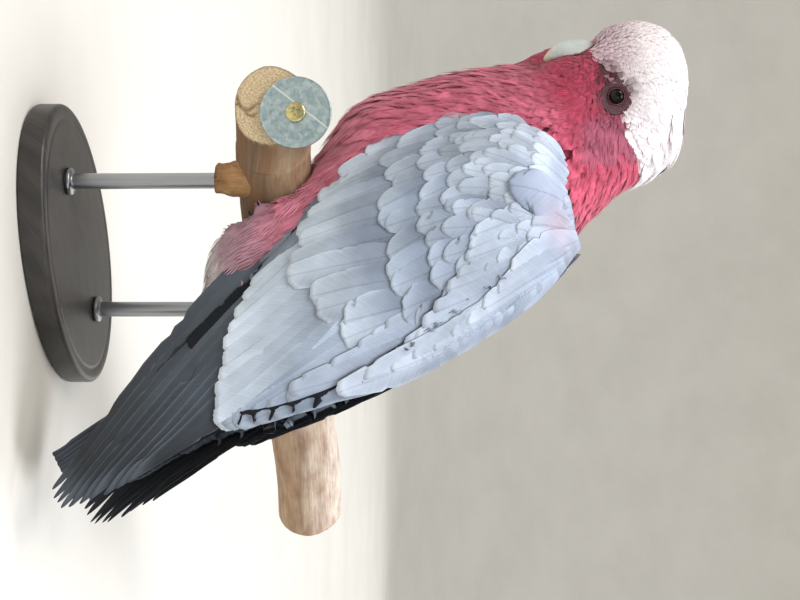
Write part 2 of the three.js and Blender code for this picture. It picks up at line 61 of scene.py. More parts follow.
log = logging.getLogger("galah")

MM = 0.001
PERCH_TOP = 120.0
BRANCH_HEADING = math.radians(55)
BASE_SHIFT = 15.0
HEAD_TURN = math.radians(36)
HEAD_PIVOT = np.array([-38.0, 0.0, 0.0])
ALONG_BRANCH = np.array([math.cos(BRANCH_HEADING), math.sin(BRANCH_HEADING), 0.0])
ASIDE_BRANCH = np.array([-ALONG_BRANCH[1], ALONG_BRANCH[0], 0.0])
BIRD_ORIGIN = -BASE_SHIFT * ALONG_BRANCH + np.array([0.0, 0.0, PERCH_TOP])
NECK_CUT_POINT = np.array([-75.0, 0.0, 92.0])
NECK_CUT_NORMAL = np.array([-0.4, 0.0, 0.92]) / math.hypot(0.4, 0.92)
SIDES = (("left", -1), ("right", 1))
WING_PARTS = ("coverts", "secondaries", "primaries")
EYE_MIDDLE = (-60.7, 14.6, 130.4)


# ---- Small numeric helpers ----
def linear(hex_colour: str) -> np.ndarray:
    """An sRGB hex colour as linear red, green and blue.

    Args:
        hex_colour: six hex digits, with or without a leading hash.

    Returns:
        Three numbers from 0 to 1.
    """
    digits = hex_colour.lstrip("#")
    srgb = np.array([int(digits[i:i + 2], 16) for i in (0, 2, 4)]) / 255
    return np.where(srgb <= 0.04045, srgb / 12.92, ((srgb + 0.055) / 1.055) ** 2.4)


def rgba(hex_colour: str) -> tuple[float, ...]:
    """An sRGB hex colour as linear red, green, blue and an alpha of 1."""
    return (*linear(hex_colour), 1.0)


def mix(low: str | np.ndarray, high: str | np.ndarray, share: np.ndarray) -> np.ndarray:
    """A colour that drifts from one to another, each in sRGB hex or linear, by a share from 0 to 1 at each
    point."""
    low, high = (linear(colour) if isinstance(colour, str) else colour for colour in (low, high))
    return low + (high - low) * np.asarray(share)[..., None]


def step(value: np.ndarray, low: float, high: float) -> np.ndarray:
    """A smooth step from 0 at low to 1 at high, or the other way when low is above high."""
    t = np.clip((value - low) / (high - low), 0, 1)
    return t * t * (3 - 2 * t)


def unit(vectors: np.ndarray) -> np.ndarray:
    """The vectors in the last axis, each made one long."""
    return vectors / np.maximum(np.linalg.norm(vectors, axis=-1, keepdims=True), 1e-9)


def around(count: int) -> np.ndarray:
    """Angles set evenly round a circle."""
    return np.linspace(0, 2 * math.pi, count, endpoint=False)


def curve_at(points: np.ndarray, t: np.ndarray) -> np.ndarray:
    """Points along a smooth curve through a few given ones.

    Args:
        points: the points that the curve passes through, one row each.
        t: places along it, 0 at the first point and 1 at the last.

    Returns:
        One row for each place.
    """
    points = np.asarray(points, float)
    ends = np.vstack([2 * points[0] - points[1], points, 2 * points[-1] - points[-2]])
    place = np.clip(np.asarray(t, float), 0, 1) * (len(points) - 1)
    start = np.minimum(place.astype(int), len(points) - 2)
    f = (place - start)[..., None]
    a, b, c, d = (ends[start + k] for k in range(4))
    return 0.5 * (2 * b + (c - a) * f + (2 * a - 5 * b + 4 * c - d) * f**2 + (3 * b - a - 3 * c + d) * f**3)


def ripple(points: np.ndarray, size: float, seed: float = 0.0) -> np.ndarray:
    """Smooth noise from about -1 to 1 at each point, with lumps of about the given size in mm."""
    return np.array([fractal.noise(Vector(p) / size + Vector((seed, seed, seed))) for p in points])


def to_frame(points: np.ndarray) -> np.ndarray:
    """Points of the bird's frame, in mm, as metres in the CAD frame."""
    return (np.asarray(points) + BIRD_ORIGIN) * MM


def to_bird(points: np.ndarray) -> np.ndarray:
    """Points of the CAD frame, in metres, as mm in the bird's frame."""
    return np.asarray(points) / MM - BIRD_ORIGIN


def turn(vectors: np.ndarray, angle: float) -> np.ndarray:
    """Vectors turned about the upright axis."""
    c, s = math.cos(angle), math.sin(angle)
    x, y, z = np.moveaxis(np.asarray(vectors, float), -1, 0)
    return np.stack([c * x - s * y, s * x + c * y, z], -1)


def head_to_bird(points: np.ndarray) -> np.ndarray:
    """Points of the unturned head's frame, turned with the head."""
    return turn(np.asarray(points) - HEAD_PIVOT, HEAD_TURN) + HEAD_PIVOT


def bird_to_head(points: np.ndarray) -> np.ndarray:
    """Points of the bird's frame in the unturned head's frame."""
    return turn(np.asarray(points) - HEAD_PIVOT, -HEAD_TURN) + HEAD_PIVOT


def by_branch(along: np.ndarray, aside: np.ndarray, height: np.ndarray) -> np.ndarray:
    """Points by their distance along the branch, aside and over its axis, in the bird's frame."""
    along, aside, height = np.broadcast_arrays(along, aside, height)
    drop = np.stack([0 * height, 0 * height, height - Branch.radius], -1)
    return along[..., None] * ALONG_BRANCH + aside[..., None] * ASIDE_BRANCH + drop


# ---- Small mesh helpers ----
def grid_faces(rows: int, columns: int, closed: bool = False) -> np.ndarray:
    """The quads of a grid of points that are numbered row by row.

    Args:
        rows: number of rows of points.
        columns: number of points in each row.
        closed: whether the last column joins the first.

    Returns:
        Four point numbers for each quad.
    """
    r, c = np.meshgrid(np.arange(rows - 1), np.arange(columns if closed else columns - 1), indexing="ij")
    a, b = r * columns + c, r * columns + (c + 1) % columns
    return np.stack([a, b, b + columns, a + columns], -1).reshape(-1, 4)


def store(mesh: bpy.types.Mesh, name: str, kind: str, values: np.ndarray) -> None:
    """Writes one value for each vertex to a named attribute.

    Args:
        mesh: the mesh to write to.
        name: the attribute's name.
        kind: FLOAT, INT, FLOAT_VECTOR or FLOAT_COLOR.
        values: one row for each vertex.
    """
    attribute = mesh.attributes.get(name) or mesh.attributes.new(name, kind, "POINT")
    key = {"FLOAT_VECTOR": "vector", "FLOAT_COLOR": "color"}.get(kind, "value")
    if kind == "FLOAT_COLOR":
        values = np.hstack([values, np.ones((len(values), 1))])
    attribute.data.foreach_set(
        key, np.ascontiguousarray(values, np.int32 if kind == "INT" else np.float32).ravel()
    )


def read(mesh: bpy.types.Mesh, name: str, width: int) -> np.ndarray:
    """The values of a vertex attribute, one row for each vertex, or a flat list where width is 1."""
    attribute = mesh.attributes[name]
    values = np.empty(len(attribute.data) * width, np.int32 if attribute.data_type == "INT" else np.float32)
    attribute.data.foreach_get("value" if width == 1 else "vector", values)
    return values if width == 1 else values.reshape(-1, width)


def places(mesh: bpy.types.Mesh) -> np.ndarray:
    """Each vertex's place, in metres."""
    values = np.empty(len(mesh.vertices) * 3, np.float32)
    mesh.vertices.foreach_get("co", values)
    return values.reshape(-1, 3).astype(float)


def move(mesh: bpy.types.Mesh, points: np.ndarray) -> None:
    """Puts each vertex at a place, in metres."""
    mesh.vertices.foreach_set("co", points.astype(np.float32).ravel())
    mesh.update()


def normals(mesh: bpy.types.Mesh) -> np.ndarray:
    """Each vertex's outward direction."""
    values = np.empty(len(mesh.vertices) * 3, np.float32)
    mesh.vertex_normals.foreach_get("vector", values)
    return values.reshape(-1, 3).astype(float)


def set_map(mesh: bpy.types.Mesh, name: str, by_vertex: np.ndarray) -> None:
    """Adds a UV map from one place for each vertex."""
    layer = mesh.uv_layers.new(name=name, do_init=False)
    corner = np.empty(len(mesh.loops), np.int32)
    mesh.loops.foreach_get("vertex_index", corner)
    layer.uv.foreach_set("vector", np.ascontiguousarray(by_vertex[corner], np.float32).ravel())


def unwrap(made: bpy.types.Object) -> None:
    """Gives an object the map "OFBake", unwrapped from its own shape."""
    made.data.uv_layers.new(name="OFBake")
    bpy.context.view_layer.objects.active = made
    made.select_set(True)
    bpy.ops.object.mode_set(mode="EDIT")
    bpy.ops.mesh.select_all(action="SELECT")
    bpy.ops.uv.smart_project(angle_limit=math.radians(66), island_margin=0.002)
    bpy.ops.object.mode_set(mode="OBJECT")
    made.select_set(False)


def made_object(
    name: str, points: np.ndarray, faces: list | np.ndarray, smooth: bool = True
) -> bpy.types.Object:
    """A mesh object of points in the bird's frame.

    Args:
        name: the piece's name.
        points: one row for each vertex, in mm.
        faces: vertex numbers, three or four for each face.
        smooth: whether it is shaded smooth.

    Returns:
        The object, linked to the scene, its place in its mesh.
    """
    mesh = bpy.data.meshes.new(name)
    mesh.from_pydata(
        to_frame(points).tolist(), [], faces.tolist() if isinstance(faces, np.ndarray) else faces
    )
    mesh.polygons.foreach_set("use_smooth", np.full(len(mesh.polygons), smooth))
    mesh.validate()
    mesh.update()
    made = bpy.data.objects.new(name, mesh)
    bpy.context.scene.collection.objects.link(made)
    return made


def settled(made: bpy.types.Object) -> bpy.types.Object:
    """The object with its modifiers turned into plain mesh."""
    graph = bpy.context.evaluated_depsgraph_get()
    graph.update()
    mesh = bpy.data.meshes.new_from_object(made.evaluated_get(graph), depsgraph=graph)
    made.modifiers.clear()
    made.data = mesh
    return made


def hand_in(
    made: bpy.types.Object, material: bpy.types.Material, nodes: Iterable[str] = ()
) -> None:
    """Args:
        made: the finished piece.
        material: its finish.
        nodes: the CAD nodes that it replaces.
    """
    made.data.materials.clear()
    made.data.materials.append(material)
    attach(made, "root")
    if nodes:
        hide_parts(*nodes)
    log.info("%s: %d faces", made.name, len(made.data.polygons))


def merged_nodes(names: list[str], grow: float = 0.0) -> bpy.types.Object:
    """A merged copy of some CAD nodes, each grown by some mm so that neighbours meet."""
    merged = bmesh.new()
    for name in names:
        merged.from_mesh(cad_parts[name].data)
    bmesh.ops.remove_doubles(merged, verts=merged.verts, dist=1e-5)
    merged.normal_update()
    for vertex in merged.verts:
        vertex.co += vertex.normal * grow * MM
    mesh = bpy.data.meshes.new("merged")
    merged.to_mesh(mesh)
    merged.free()
    made = bpy.data.objects.new("merged", mesh)
    bpy.context.scene.collection.objects.link(made)
    return made


SMOOTHING_PULLS = (0.62, -0.64)  # in and out again, so that a form keeps its size while it is smoothed


def rounded_form(names: list[str], voxel: float, rounds: int, grow: float = 0.35) -> bpy.types.Object:
    """One smooth closed form around some CAD nodes, its facets rounded off and its size kept.

    Args:
        names: the CAD nodes.
        voxel: the size of its faces, in mm.
        rounds: how many times it is smoothed.
        grow: how far each node is grown first so that neighbours meet, in mm.

    Returns:
        An object that is linked to the scene.
    """
    made = merged_nodes(names, grow)
    remesh = made.modifiers.new("remesh", "REMESH")
    remesh.mode = "VOXEL"
    remesh.voxel_size = voxel * MM
    settled(made)
    mesh = made.data
    largest_body(mesh)
    pairs = np.empty(len(mesh.edges) * 2, np.int32)
    mesh.edges.foreach_get("vertices", pairs)
    a, b = pairs.reshape(-1, 2).T
    count = len(mesh.vertices)
    degree = np.bincount(a, minlength=count) + np.bincount(b, minlength=count)
    at = places(mesh)
    for _ in range(rounds):
        for pull in SMOOTHING_PULLS:
            total = [np.bincount(a, at[b, k], count) + np.bincount(b, at[a, k], count) for k in range(3)]
            at = at + pull * (np.stack(total, 1) / degree[:, None] - at)
    move(mesh, at)
    move(mesh, at - normals(mesh) * grow * MM)
    mesh.polygons.foreach_set("use_smooth", np.full(len(mesh.polygons), True))
    return made


def largest_body(mesh: bpy.types.Mesh) -> None:
    """Keeps only the largest connected body of a mesh."""
    whole = bmesh.new()
    whole.from_mesh(mesh)
    whole.verts.ensure_lookup_table()
    body_of: dict[int, int] = {}
    bodies: list[list] = []
    for seed in whole.verts:
        if seed.index in body_of:
            continue
        found, waiting = [], [seed]
        body_of[seed.index] = len(bodies)
        while waiting:
            vertex = waiting.pop()
            found.append(vertex)
            for edge in vertex.link_edges:
                other = edge.other_vert(vertex)
                if other.index not in body_of:
                    body_of[other.index] = len(bodies)
                    waiting.append(other)
        bodies.append(found)
    biggest = max(bodies, key=len)
    stray = [v for body in bodies if body is not biggest for v in body]
    bmesh.ops.delete(whole, geom=stray, context="VERTS")
    whole.to_mesh(mesh)
    whole.free()


def wing_nodes(*sides: str, parts: tuple[str, ...] = WING_PARTS) -> list[str]:
    """The CAD nodes of some wings."""
    return [f"wing_{side}_{part}" for side in sides for part in parts]


def tree_of(made: bpy.types.Object) -> BVHTree:
    """A search tree over an object's faces, in metres."""
    return BVHTree.FromPolygons(
        [v.co for v in made.data.vertices], [p.vertices for p in made.data.polygons]
    )


def discard(made: bpy.types.Object) -> None:
    """Removes a helper object and its mesh."""
    mesh = made.data
    bpy.data.objects.remove(made)
    bpy.data.meshes.remove(mesh)


def nodes_tree(names: list[str]) -> BVHTree:
    """A search tree over the faces of some CAD nodes."""
    merged = merged_nodes(names)
    tree = tree_of(merged)
    discard(merged)
    return tree


def joined(parts: list[tuple]) -> tuple:
    """Several bodies as one.

    Args:
        parts: each body's points, its faces, and then any tables with a row for each point.

    Returns:
        The same for the whole, with the faces renumbered.
    """
    points, faces, *tables = zip(*parts)
    starts = np.cumsum([0, *map(len, points)]).tolist()
    renumbered = [[n + start for n in face] for rows, start in zip(faces, starts) for face in rows]
    return np.concatenate(points), renumbered, *(np.concatenate(rows) for rows in tables)


# ---- Finishes ----
def add_node(tree: bpy.types.NodeTree, kind: str, inputs: dict | None = None, **settings) -> bpy.types.Node:
    """Adds one node to a tree, with its settings and inputs.

    Args:
        tree: the shader or geometry tree.
        kind: the node's type name.
        inputs: input name or number to a value, or to the output socket that is linked to it.
        **settings: the node's own properties.

    Returns:
        The new node.
    """
    made = tree.nodes.new(kind)
    for name, value in settings.items():
        setattr(made, name, value)
    for name, value in (inputs or {}).items():
        if isinstance(value, bpy.types.NodeSocket):
            tree.links.new(value, made.inputs[name])
        else:
            made.inputs[name].default_value = value
    return made


MIX_A, MIX_B, MIX_RESULT = 6, 7, 2  # the colour sockets of a Mix node
Socket = bpy.types.NodeSocket
Sockets = dict[str, Socket]


@dataclass(frozen=True)
class Graph:
    """A shader tree, with a short name for each kind of node that the finishes are made of."""

    tree: bpy.types.NodeTree

    def attribute(self, name: str, output: str = "Color") -> Socket:
        """A value that is kept on the mesh's vertices."""
        return add_node(self.tree, "ShaderNodeAttribute", attribute_name=name).outputs[output]

    def flat(self, name: str) -> Socket:
        """A place on one of the mesh's UV maps."""
        return add_node(self.tree, "ShaderNodeUVMap", uv_map=name).outputs["UV"]

    def split(self, place: Socket) -> tuple[Socket, ...]:
        """The X, Y and Z of a place."""
        return tuple(add_node(self.tree, "ShaderNodeSeparateXYZ", {0: place}).outputs)

    def sum(self, operation: str, *values: Socket | float) -> Socket:
        """The result of an operation on plain numbers."""
        return add_node(
            self.tree, "ShaderNodeMath", dict(enumerate(values)), operation=operation
        ).outputs[0]

    def stretched(self, place: Socket, by: tuple[float, float, float]) -> Socket:
        """A place with each of its axes stretched."""
        return add_node(
            self.tree, "ShaderNodeVectorMath", {0: place, 1: by}, operation="MULTIPLY"
        ).outputs[0]

    def scaled(self, colour: Socket, by: Socket | float) -> Socket:
        """A colour made lighter or darker."""
        return add_node(
            self.tree, "ShaderNodeVectorMath", {0: colour, "Scale": by}, operation="SCALE"
        ).outputs[0]

    def noise(
        self, place: Socket, scale: float = 1.0, detail: float = 2.0, roughness: float = 0.5
    ) -> Socket:
        """Smooth noise from 0 to 1."""
        inputs = {"Vector": place, "Scale": scale, "Detail": detail, "Roughness": roughness}
        return add_node(self.tree, "ShaderNodeTexNoise", inputs).outputs["Fac"]

    def ranged(
        self, value: Socket, low: float, high: float, to_low: float = 0.0, to_high: float = 1.0
    ) -> Socket:
        """A value carried from one range to another, and held at its ends."""
        inputs = {"Value": value, "From Min": low, "From Max": high, "To Min": to_low, "To Max": to_high}
        return add_node(self.tree, "ShaderNodeMapRange", inputs).outputs[0]

    def mixed(self, share: Socket | float, first: Socket | str, second: Socket | str, **settings) -> Socket:
        """A colour between two, each a socket or sRGB hex."""
        first, second = (rgba(colour) if isinstance(colour, str) else colour for colour in (first, second))
        inputs = {0: share, MIX_A: first, MIX_B: second}
        return add_node(
            self.tree, "ShaderNodeMix", inputs, data_type="RGBA", **settings
        ).outputs[MIX_RESULT]


@dataclass(frozen=True)
class Finish:
    """A surface finish: its plain numbers, and a pattern that gives its colour and relief."""

    name: str
    colour: str = "#808080"
    roughness: float = 0.6
    metallic: float = 0.0
    sheen: float = 0.0
    coat: float = 0.0
    specular: float = 0.5
    relief_mm: float = 0.0

    def pattern(self, graph: Graph) -> Sockets:
        """The sockets of the pattern: colour, and height and roughness where it has them."""
        raise NotImplementedError

    def material(self) -> bpy.types.Material:
        """The finish as a material, made once."""
        found = bpy.data.materials.get(self.name)
        if found:
            return found
        made = bpy.data.materials.new(self.name)
        made.use_nodes = True
        tree = made.node_tree
        tree.nodes.clear()
        sockets = self.pattern(Graph(tree))
        inputs = {
            "Base Color": sockets["colour"],
            "Roughness": sockets.get("roughness", self.roughness),
            "Metallic": self.metallic,
            "Sheen Weight": self.sheen,
            "Coat Weight": self.coat,
            "Specular IOR Level": self.specular,
        }
        if "height" in sockets:
            relief = {"Height": sockets["height"], "Distance": self.relief_mm * MM, "Strength": 1.0}
            inputs["Normal"] = add_node(tree, "ShaderNodeBump", relief).outputs["Normal"]
        surface = add_node(tree, "ShaderNodeBsdfPrincipled", inputs)
        add_node(tree, "ShaderNodeOutputMaterial", {"Surface": surface.outputs["BSDF"]})
        return made


@dataclass(frozen=True)
class Plumage(Finish):
    """Contour feathers: keratin barbs that lie side by side, so each feather is finely streaked along its
    length."""

    streak: float = 0.22
    grain: tuple[float, float, float] = (9.0, 0.9, 37.0)  # waves across, along and from feather to feather

    def pattern(self, graph: Graph) -> Sockets:
        """Vertex colour, darkened between the barbs."""
        grain = graph.noise(graph.stretched(graph.attribute("barb", "Vector"), self.grain))
        shade = graph.ranged(grain, 0.3, 0.7, 1 - self.streak, 1 + 0.6 * self.streak)
        return {"colour": graph.scaled(graph.attribute("plumage"), shade), "height": grain}


@dataclass(frozen=True)
class Vane(Finish):
    """Flight feathers and coverts: a flat web of slanting barbs each side of a smooth shaft."""

    barb_mm: float = 0.5  # real barbs are about 0.3 mm apart; drawn coarser so that they show
    streak: float = 0.07
    slant: float = 1.1
    shaft_mm: tuple[float, float] = (0.22, 0.4)
    shaft_shade: float = 0.85

    def pattern(self, graph: Graph) -> Sockets:
        """Vertex colour with slanting barbs and a shaft, from a map whose unit is one mm."""
        across, along, _ = graph.split(graph.flat("web"))
        aside = graph.sum("ABSOLUTE", across)
        slanted = graph.sum("ADD", along, graph.sum("MULTIPLY", aside, -self.slant))
        barb = add_node(graph.tree, "ShaderNodeCombineXYZ", {0: slanted, 1: across, 2: along}).outputs[0]
        grain = graph.noise(graph.stretched(barb, (1 / self.barb_mm, 0.12, 0.03)), detail=1.0)
        shade = graph.ranged(grain, 0.3, 0.7, 1 - self.streak, 1 + self.streak)
        web = graph.scaled(graph.attribute("plumage"), shade)
        shaft = graph.ranged(aside, *self.shaft_mm, 1.0, 0.0)
        colour = graph.mixed(shaft, web, graph.scaled(web, self.shaft_shade))
        return {"colour": colour, "height": graph.sum("ADD", grain, shaft)}


@dataclass(frozen=True)
class Mottled(Finish):
    """A surface whose colour drifts between two tones, with a fine relief: skin, horn, painted or cast
    pieces."""

    second: str = "#606060"
    lump_mm: float = 3.0
    grain_mm: float = 0.4
    stretch: tuple[float, float, float] = (1.0, 1.0, 1.0)
    roughness_spread: float = 0.08

    def pattern(self, graph: Graph) -> Sockets:
        """Two tones in soft lumps, and a fine grain."""
        place = add_node(graph.tree, "ShaderNodeTexCoord").outputs["Object"]
        place = graph.stretched(place, self.stretch)
        lumps = graph.noise(place, 1 / (self.lump_mm * MM), 4.0, 0.6)
        low, high = self.roughness - self.roughness_spread, self.roughness + self.roughness_spread
        return {
            "colour": graph.mixed(graph.ranged(lumps, 0.35, 0.65), self.colour, self.second),
            "height": graph.noise(place, 1 / (self.grain_mm * MM)),
            "roughness": graph.ranged(lumps, 0.3, 0.7, low, high),
        }


@dataclass(frozen=True)
class Toned(Mottled):
    """A mottled surface whose main colour is painted on the mesh, such as a bill with a cream tip."""

    def pattern(self, graph: Graph) -> Sockets:
        """The mesh's own tones, with soft lumps and a fine grain."""
        sockets = super().pattern(graph)
        tone = graph.attribute("tone")
        return {**sockets, "colour": graph.mixed(1.0, sockets["colour"], tone, blend_type="MULTIPLY")}


@dataclass(frozen=True)
class Wood(Finish):
    """Stripped and weathered wood: long fibres that follow the limb, with the tones painted on the mesh."""

    fibre_mm: float = 0.9
    fibre_length_mm: float = 26.0
    blotch_mm: tuple[float, float] = (7.0, 19.0)

    def pattern(self, graph: Graph) -> Sockets:
        """Fibres along the grain map, whose unit is one mm, over the mesh's own tones."""
        grain = graph.flat("grain")
        fine = graph.noise(
            graph.stretched(grain, (1 / self.fibre_mm, 1 / self.fibre_length_mm, 1.0)), 1.0, 4.0, 0.65
        )
        broad = graph.noise(
            graph.stretched(grain, (1 / self.blotch_mm[0], 1 / self.blotch_mm[1], 1.0)), 1.0, 3.0, 0.6
        )
        stained = graph.ranged(broad, 0.42, 0.68, 0.0, 0.62)
        colour = graph.mixed(stained, graph.attribute("tone"), self.colour)
        return {"colour": graph.scaled(colour, graph.ranged(fine, 0.3, 0.7, 0.74, 1.14)), "height": fine}


@dataclass(frozen=True)
class Zinc(Finish):
    """Zinc-plated sheet steel, dulled outdoors: blurred crystals, a soft bloom and one long scratch."""

    second: str = "#7f9798"
    bright: str = "#d5dedd"
    scratch_turn: float = -52.0
    scratch_off_mm: float = 3.0
    scratch_mm: tuple[float, float] = (0.12, 0.5)

    def pattern(self, graph: Graph) -> Sockets:
        """Crystals and marks on the disc map, whose unit is one mm from the middle."""
        disc = graph.flat("disc")
        crystals = add_node(
            graph.tree, "ShaderNodeTexVoronoi", {"Vector": disc, "Scale": 0.55}
        ).outputs["Color"]
        bloom = graph.noise(disc, 0.32, 5.0, 0.65)
        share = add_node(
            graph.tree, "ShaderNodeMix", {0: 0.72, 2: crystals, 3: bloom}, data_type="FLOAT"
        ).outputs[0]
        plate = graph.mixed(graph.ranged(share, 0.36, 0.62), self.colour, self.second)
        turned_by = {"Vector": disc, "Rotation": (0, 0, math.radians(self.scratch_turn))}
        turned_disc = add_node(graph.tree, "ShaderNodeMapping", turned_by).outputs[0]
        off = graph.sum("ABSOLUTE", graph.sum("SUBTRACT", graph.split(turned_disc)[1], self.scratch_off_mm))
        scratch = graph.ranged(off, *self.scratch_mm, 1.0, 0.0)
        return {
            "colour": graph.mixed(scratch, plate, self.bright),
            "height": bloom,
            "roughness": graph.ranged(bloom, 0.0, 1.0, 0.5, 0.3),
        }


@dataclass(frozen=True)
class Gaze(Finish):
    """A live eye under its wet cornea: a round pupil in a dark brown iris."""

    second: str = "#1a0f0d"
    pupil: str = "#040303"
    rim: str = "#0b0808"
    pupil_mm: float = 1.7
    iris_mm: float = 3.2

    def pattern(self, graph: Graph) -> Sockets:
        """Rings of colour on the gaze map, whose unit is one mm from the eye's axis."""
        gaze = graph.flat("gaze")
        away = add_node(graph.tree, "ShaderNodeVectorMath", {0: gaze}, operation="LENGTH").outputs["Value"]
        iris = graph.mixed(graph.noise(gaze, 2.4, 3.0), self.second, self.colour)
        inner = graph.mixed(graph.ranged(away, self.pupil_mm, self.pupil_mm + 0.25), self.pupil, iris)
        return {
            "colour": graph.mixed(graph.ranged(away, self.iris_mm, self.iris_mm + 0.3), inner, self.rim)
        }


BODY_FEATHER = Plumage(
    "contour feathers, rose and grey barbs, matt", roughness=0.78, sheen=0.18, specular=0.22, relief_mm=0.25
)
FLIGHT_FEATHER = Vane(
    "flight feathers, zipped barbs on a smooth shaft", roughness=0.62, sheen=0.08, specular=0.3,
    relief_mm=0.07
)
BARE_SKIN = Toned(
    "bare eye ring, soft beaded skin", colour="#84545f", second="#9c7480", roughness=0.55, specular=0.4,
    lump_mm=1.6, grain_mm=0.25, relief_mm=0.06,
)
BODY_SKIN = Plumage("skin under the feathers, down and pores", roughness=0.85, specular=0.15, relief_mm=0.1)
BILL_HORN = Toned(
    "bill, powdery keratin horn", colour="#dfe2dc", second="#c6ccc9", roughness=0.42, specular=0.5,
    lump_mm=4.0, grain_mm=0.5, stretch=(1.0, 1.0, 0.35), relief_mm=0.05,
)
EYE_WET = Gaze("eye, wet cornea over a dark iris", colour="#170b09", roughness=0.06, specular=0.25)
FOOT_SCALE = Toned(
    "leg and toe scales, dry grey keratin", colour="#827d86", second="#5f5b66", roughness=0.7,
    specular=0.35,
    lump_mm=2.0, grain_mm=0.3, relief_mm=0.08,
)
CLAW_HORN = Mottled(
    "claw, polished dark horn", colour="#2e2a2c", second="#191617", roughness=0.35, specular=0.5,
    lump_mm=2.0, grain_mm=0.3, relief_mm=0.02, stretch=(1.0, 1.0, 0.4),
)
PERCH_WOOD = Wood(
    "branch, barked and sun-bleached hardwood", colour="#8a5f3f", roughness=0.74, specular=0.3,
    relief_mm=0.35
)
WASHER_ZINC = Zinc(
    "washer, zinc-plated steel, dulled", colour="#b4c2c4", second="#8fa3a8", roughness=0.4, metallic=1.0,
    relief_mm=0.03
)
SCREW_ZINC = Mottled(
    "screw, yellow-passivated zinc", colour="#d2c37c", second="#9c9a84", roughness=0.34, metallic=1.0,
    lump_mm=1.6, grain_mm=0.2, relief_mm=0.02,
)
BASE_WOOD = Wood("base, turned ash stained black", colour="#141312", roughness=0.42, specular=0.4,
coat=0.15,
                 relief_mm=0.12, fibre_mm=0.8, fibre_length_mm=42.0)
ROD_STEEL = Mottled(
    "rod, brushed stainless steel", colour="#a3a5a8", second="#8b8e92", roughness=0.3, metallic=1.0,
    lump_mm=6.0, grain_mm=0.35, stretch=(1.0, 1.0, 0.04), relief_mm=0.02,
)
FLOOR_PAINT = Mottled(
    "floor, matt painted board", colour="#d9d6ce", second="#d3d0c8", roughness=0.8, specular=0.2,
    lump_mm=160.0, grain_mm=4.0, relief_mm=0.1,
)


# ---- The bird's markings and the lie of its feathers ----
@dataclass(frozen=True)
class Lie:
    """A direction that the feathers follow near a place, on the bird's left side."""

    at: tuple[float, float, float]
    towards: tuple[float, float, float]


HEAD_LIE = (
    Lie((-89, 0, 124), (0.0, 0.0, 1.0)),
    Lie((-89, 0, 138), (0.12, 0.0, 1.0)),
    Lie((-80, 0, 154), (0.75, 0.0, 0.7)),
    Lie((-80, -16, 140), (0.45, -0.1, 0.8)),
    Lie((-66, 0, 164), (1.0, 0.0, 0.05)),
    Lie((-62, -18, 152), (1.0, 0.0, 0.1)),
    Lie((-50, 0, 162), (1.0, 0.0, 0.05)),
    Lie((-34, 0, 162), (1.0, 0.0, -0.25)),
    Lie((-45, -18, 146), (1.0, 0.0, -0.1)),
    Lie((-22, 0, 152), (0.8, 0.0, -0.6)),
    Lie((-14, 0, 138), (0.45, 0.0, -0.9)),
    Lie((-20, -16, 130), (0.6, 0.0, -0.8)),
    Lie((-76, -17, 128), (0.7, -0.2, 0.5)),
    Lie((-74, -18, 120), (0.6, -0.3, -0.2)),
    Lie((-78, -13, 112), (-0.1, -0.4, -0.9)),
    Lie((-72, -19, 104), (-0.28, 0.0, -1.0)),
    Lie((-64, -21, 112), (0.1, -0.1, -1.0)),
    Lie((-56, -21, 120), (0.8, -0.1, -0.55)),
    Lie((-44, -21, 124), (0.95, 0.0, -0.35)),
    Lie((-46, -22, 112), (0.6, 0.0, -0.85)),
    Lie((-32, -20, 118), (0.7, 0.0, -0.75)),
    Lie((-30, -20, 104), (0.5, 0.0, -0.9)),
    Lie((-62, -12, 96), (-0.1, 0.0, -1.0)),
)
BODY_LIE = (
    Lie((-74, 0, 100), (0.1, 0.0, -1.0)),
    Lie((-66, 0, 70), (0.05, 0.0, -1.0)),
    Lie((-56, 0, 40), (0.3, 0.0, -0.95)),
    Lie((-45, -30, 80), (0.2, 0.0, -1.0)),
    Lie((-38, -36, 50), (0.3, 0.0, -1.0)),
    Lie((-30, -38, 20), (0.55, 0.0, -0.85)),
    Lie((-35, 0, 10), (0.75, 0.0, -0.65)),
    Lie((-5, -38, 0), (0.75, 0.0, -0.65)),
    Lie((-5, 0, -20), (0.85, 0.0, -0.5)),
    Lie((18, -36, -20), (0.5, 0.0, -0.85)),
    Lie((20, 0, -45), (0.75, 0.0, -0.7)),
    Lie((50, 0, -62), (0.66, 0.0, -0.75)),
    Lie((-8, 0, 124), (0.75, 0.0, -0.65)),
    Lie((-20, -28, 112), (0.55, 0.0, -0.8)),
    Lie((15, 0, 106), (0.75, 0.0, -0.66)),
    Lie((40, 0, 70), (0.6, 0.0, -0.8)),
    Lie((56, 0, 30), (0.55, 0.0, -0.83)),
    Lie((62, 0, -5), (0.62, 0.0, -0.78)),
)


CAP_EDGE = (
    (-90, 118.5), (-82, 120), (-73, 124.5), (-66, 131), (-54, 134.5), (-41, 141), (-32, 145), (-24, 147),
    (-14, 152),
)  # X and Z of the cap's lower edge, from the forehead to the tip of the crest


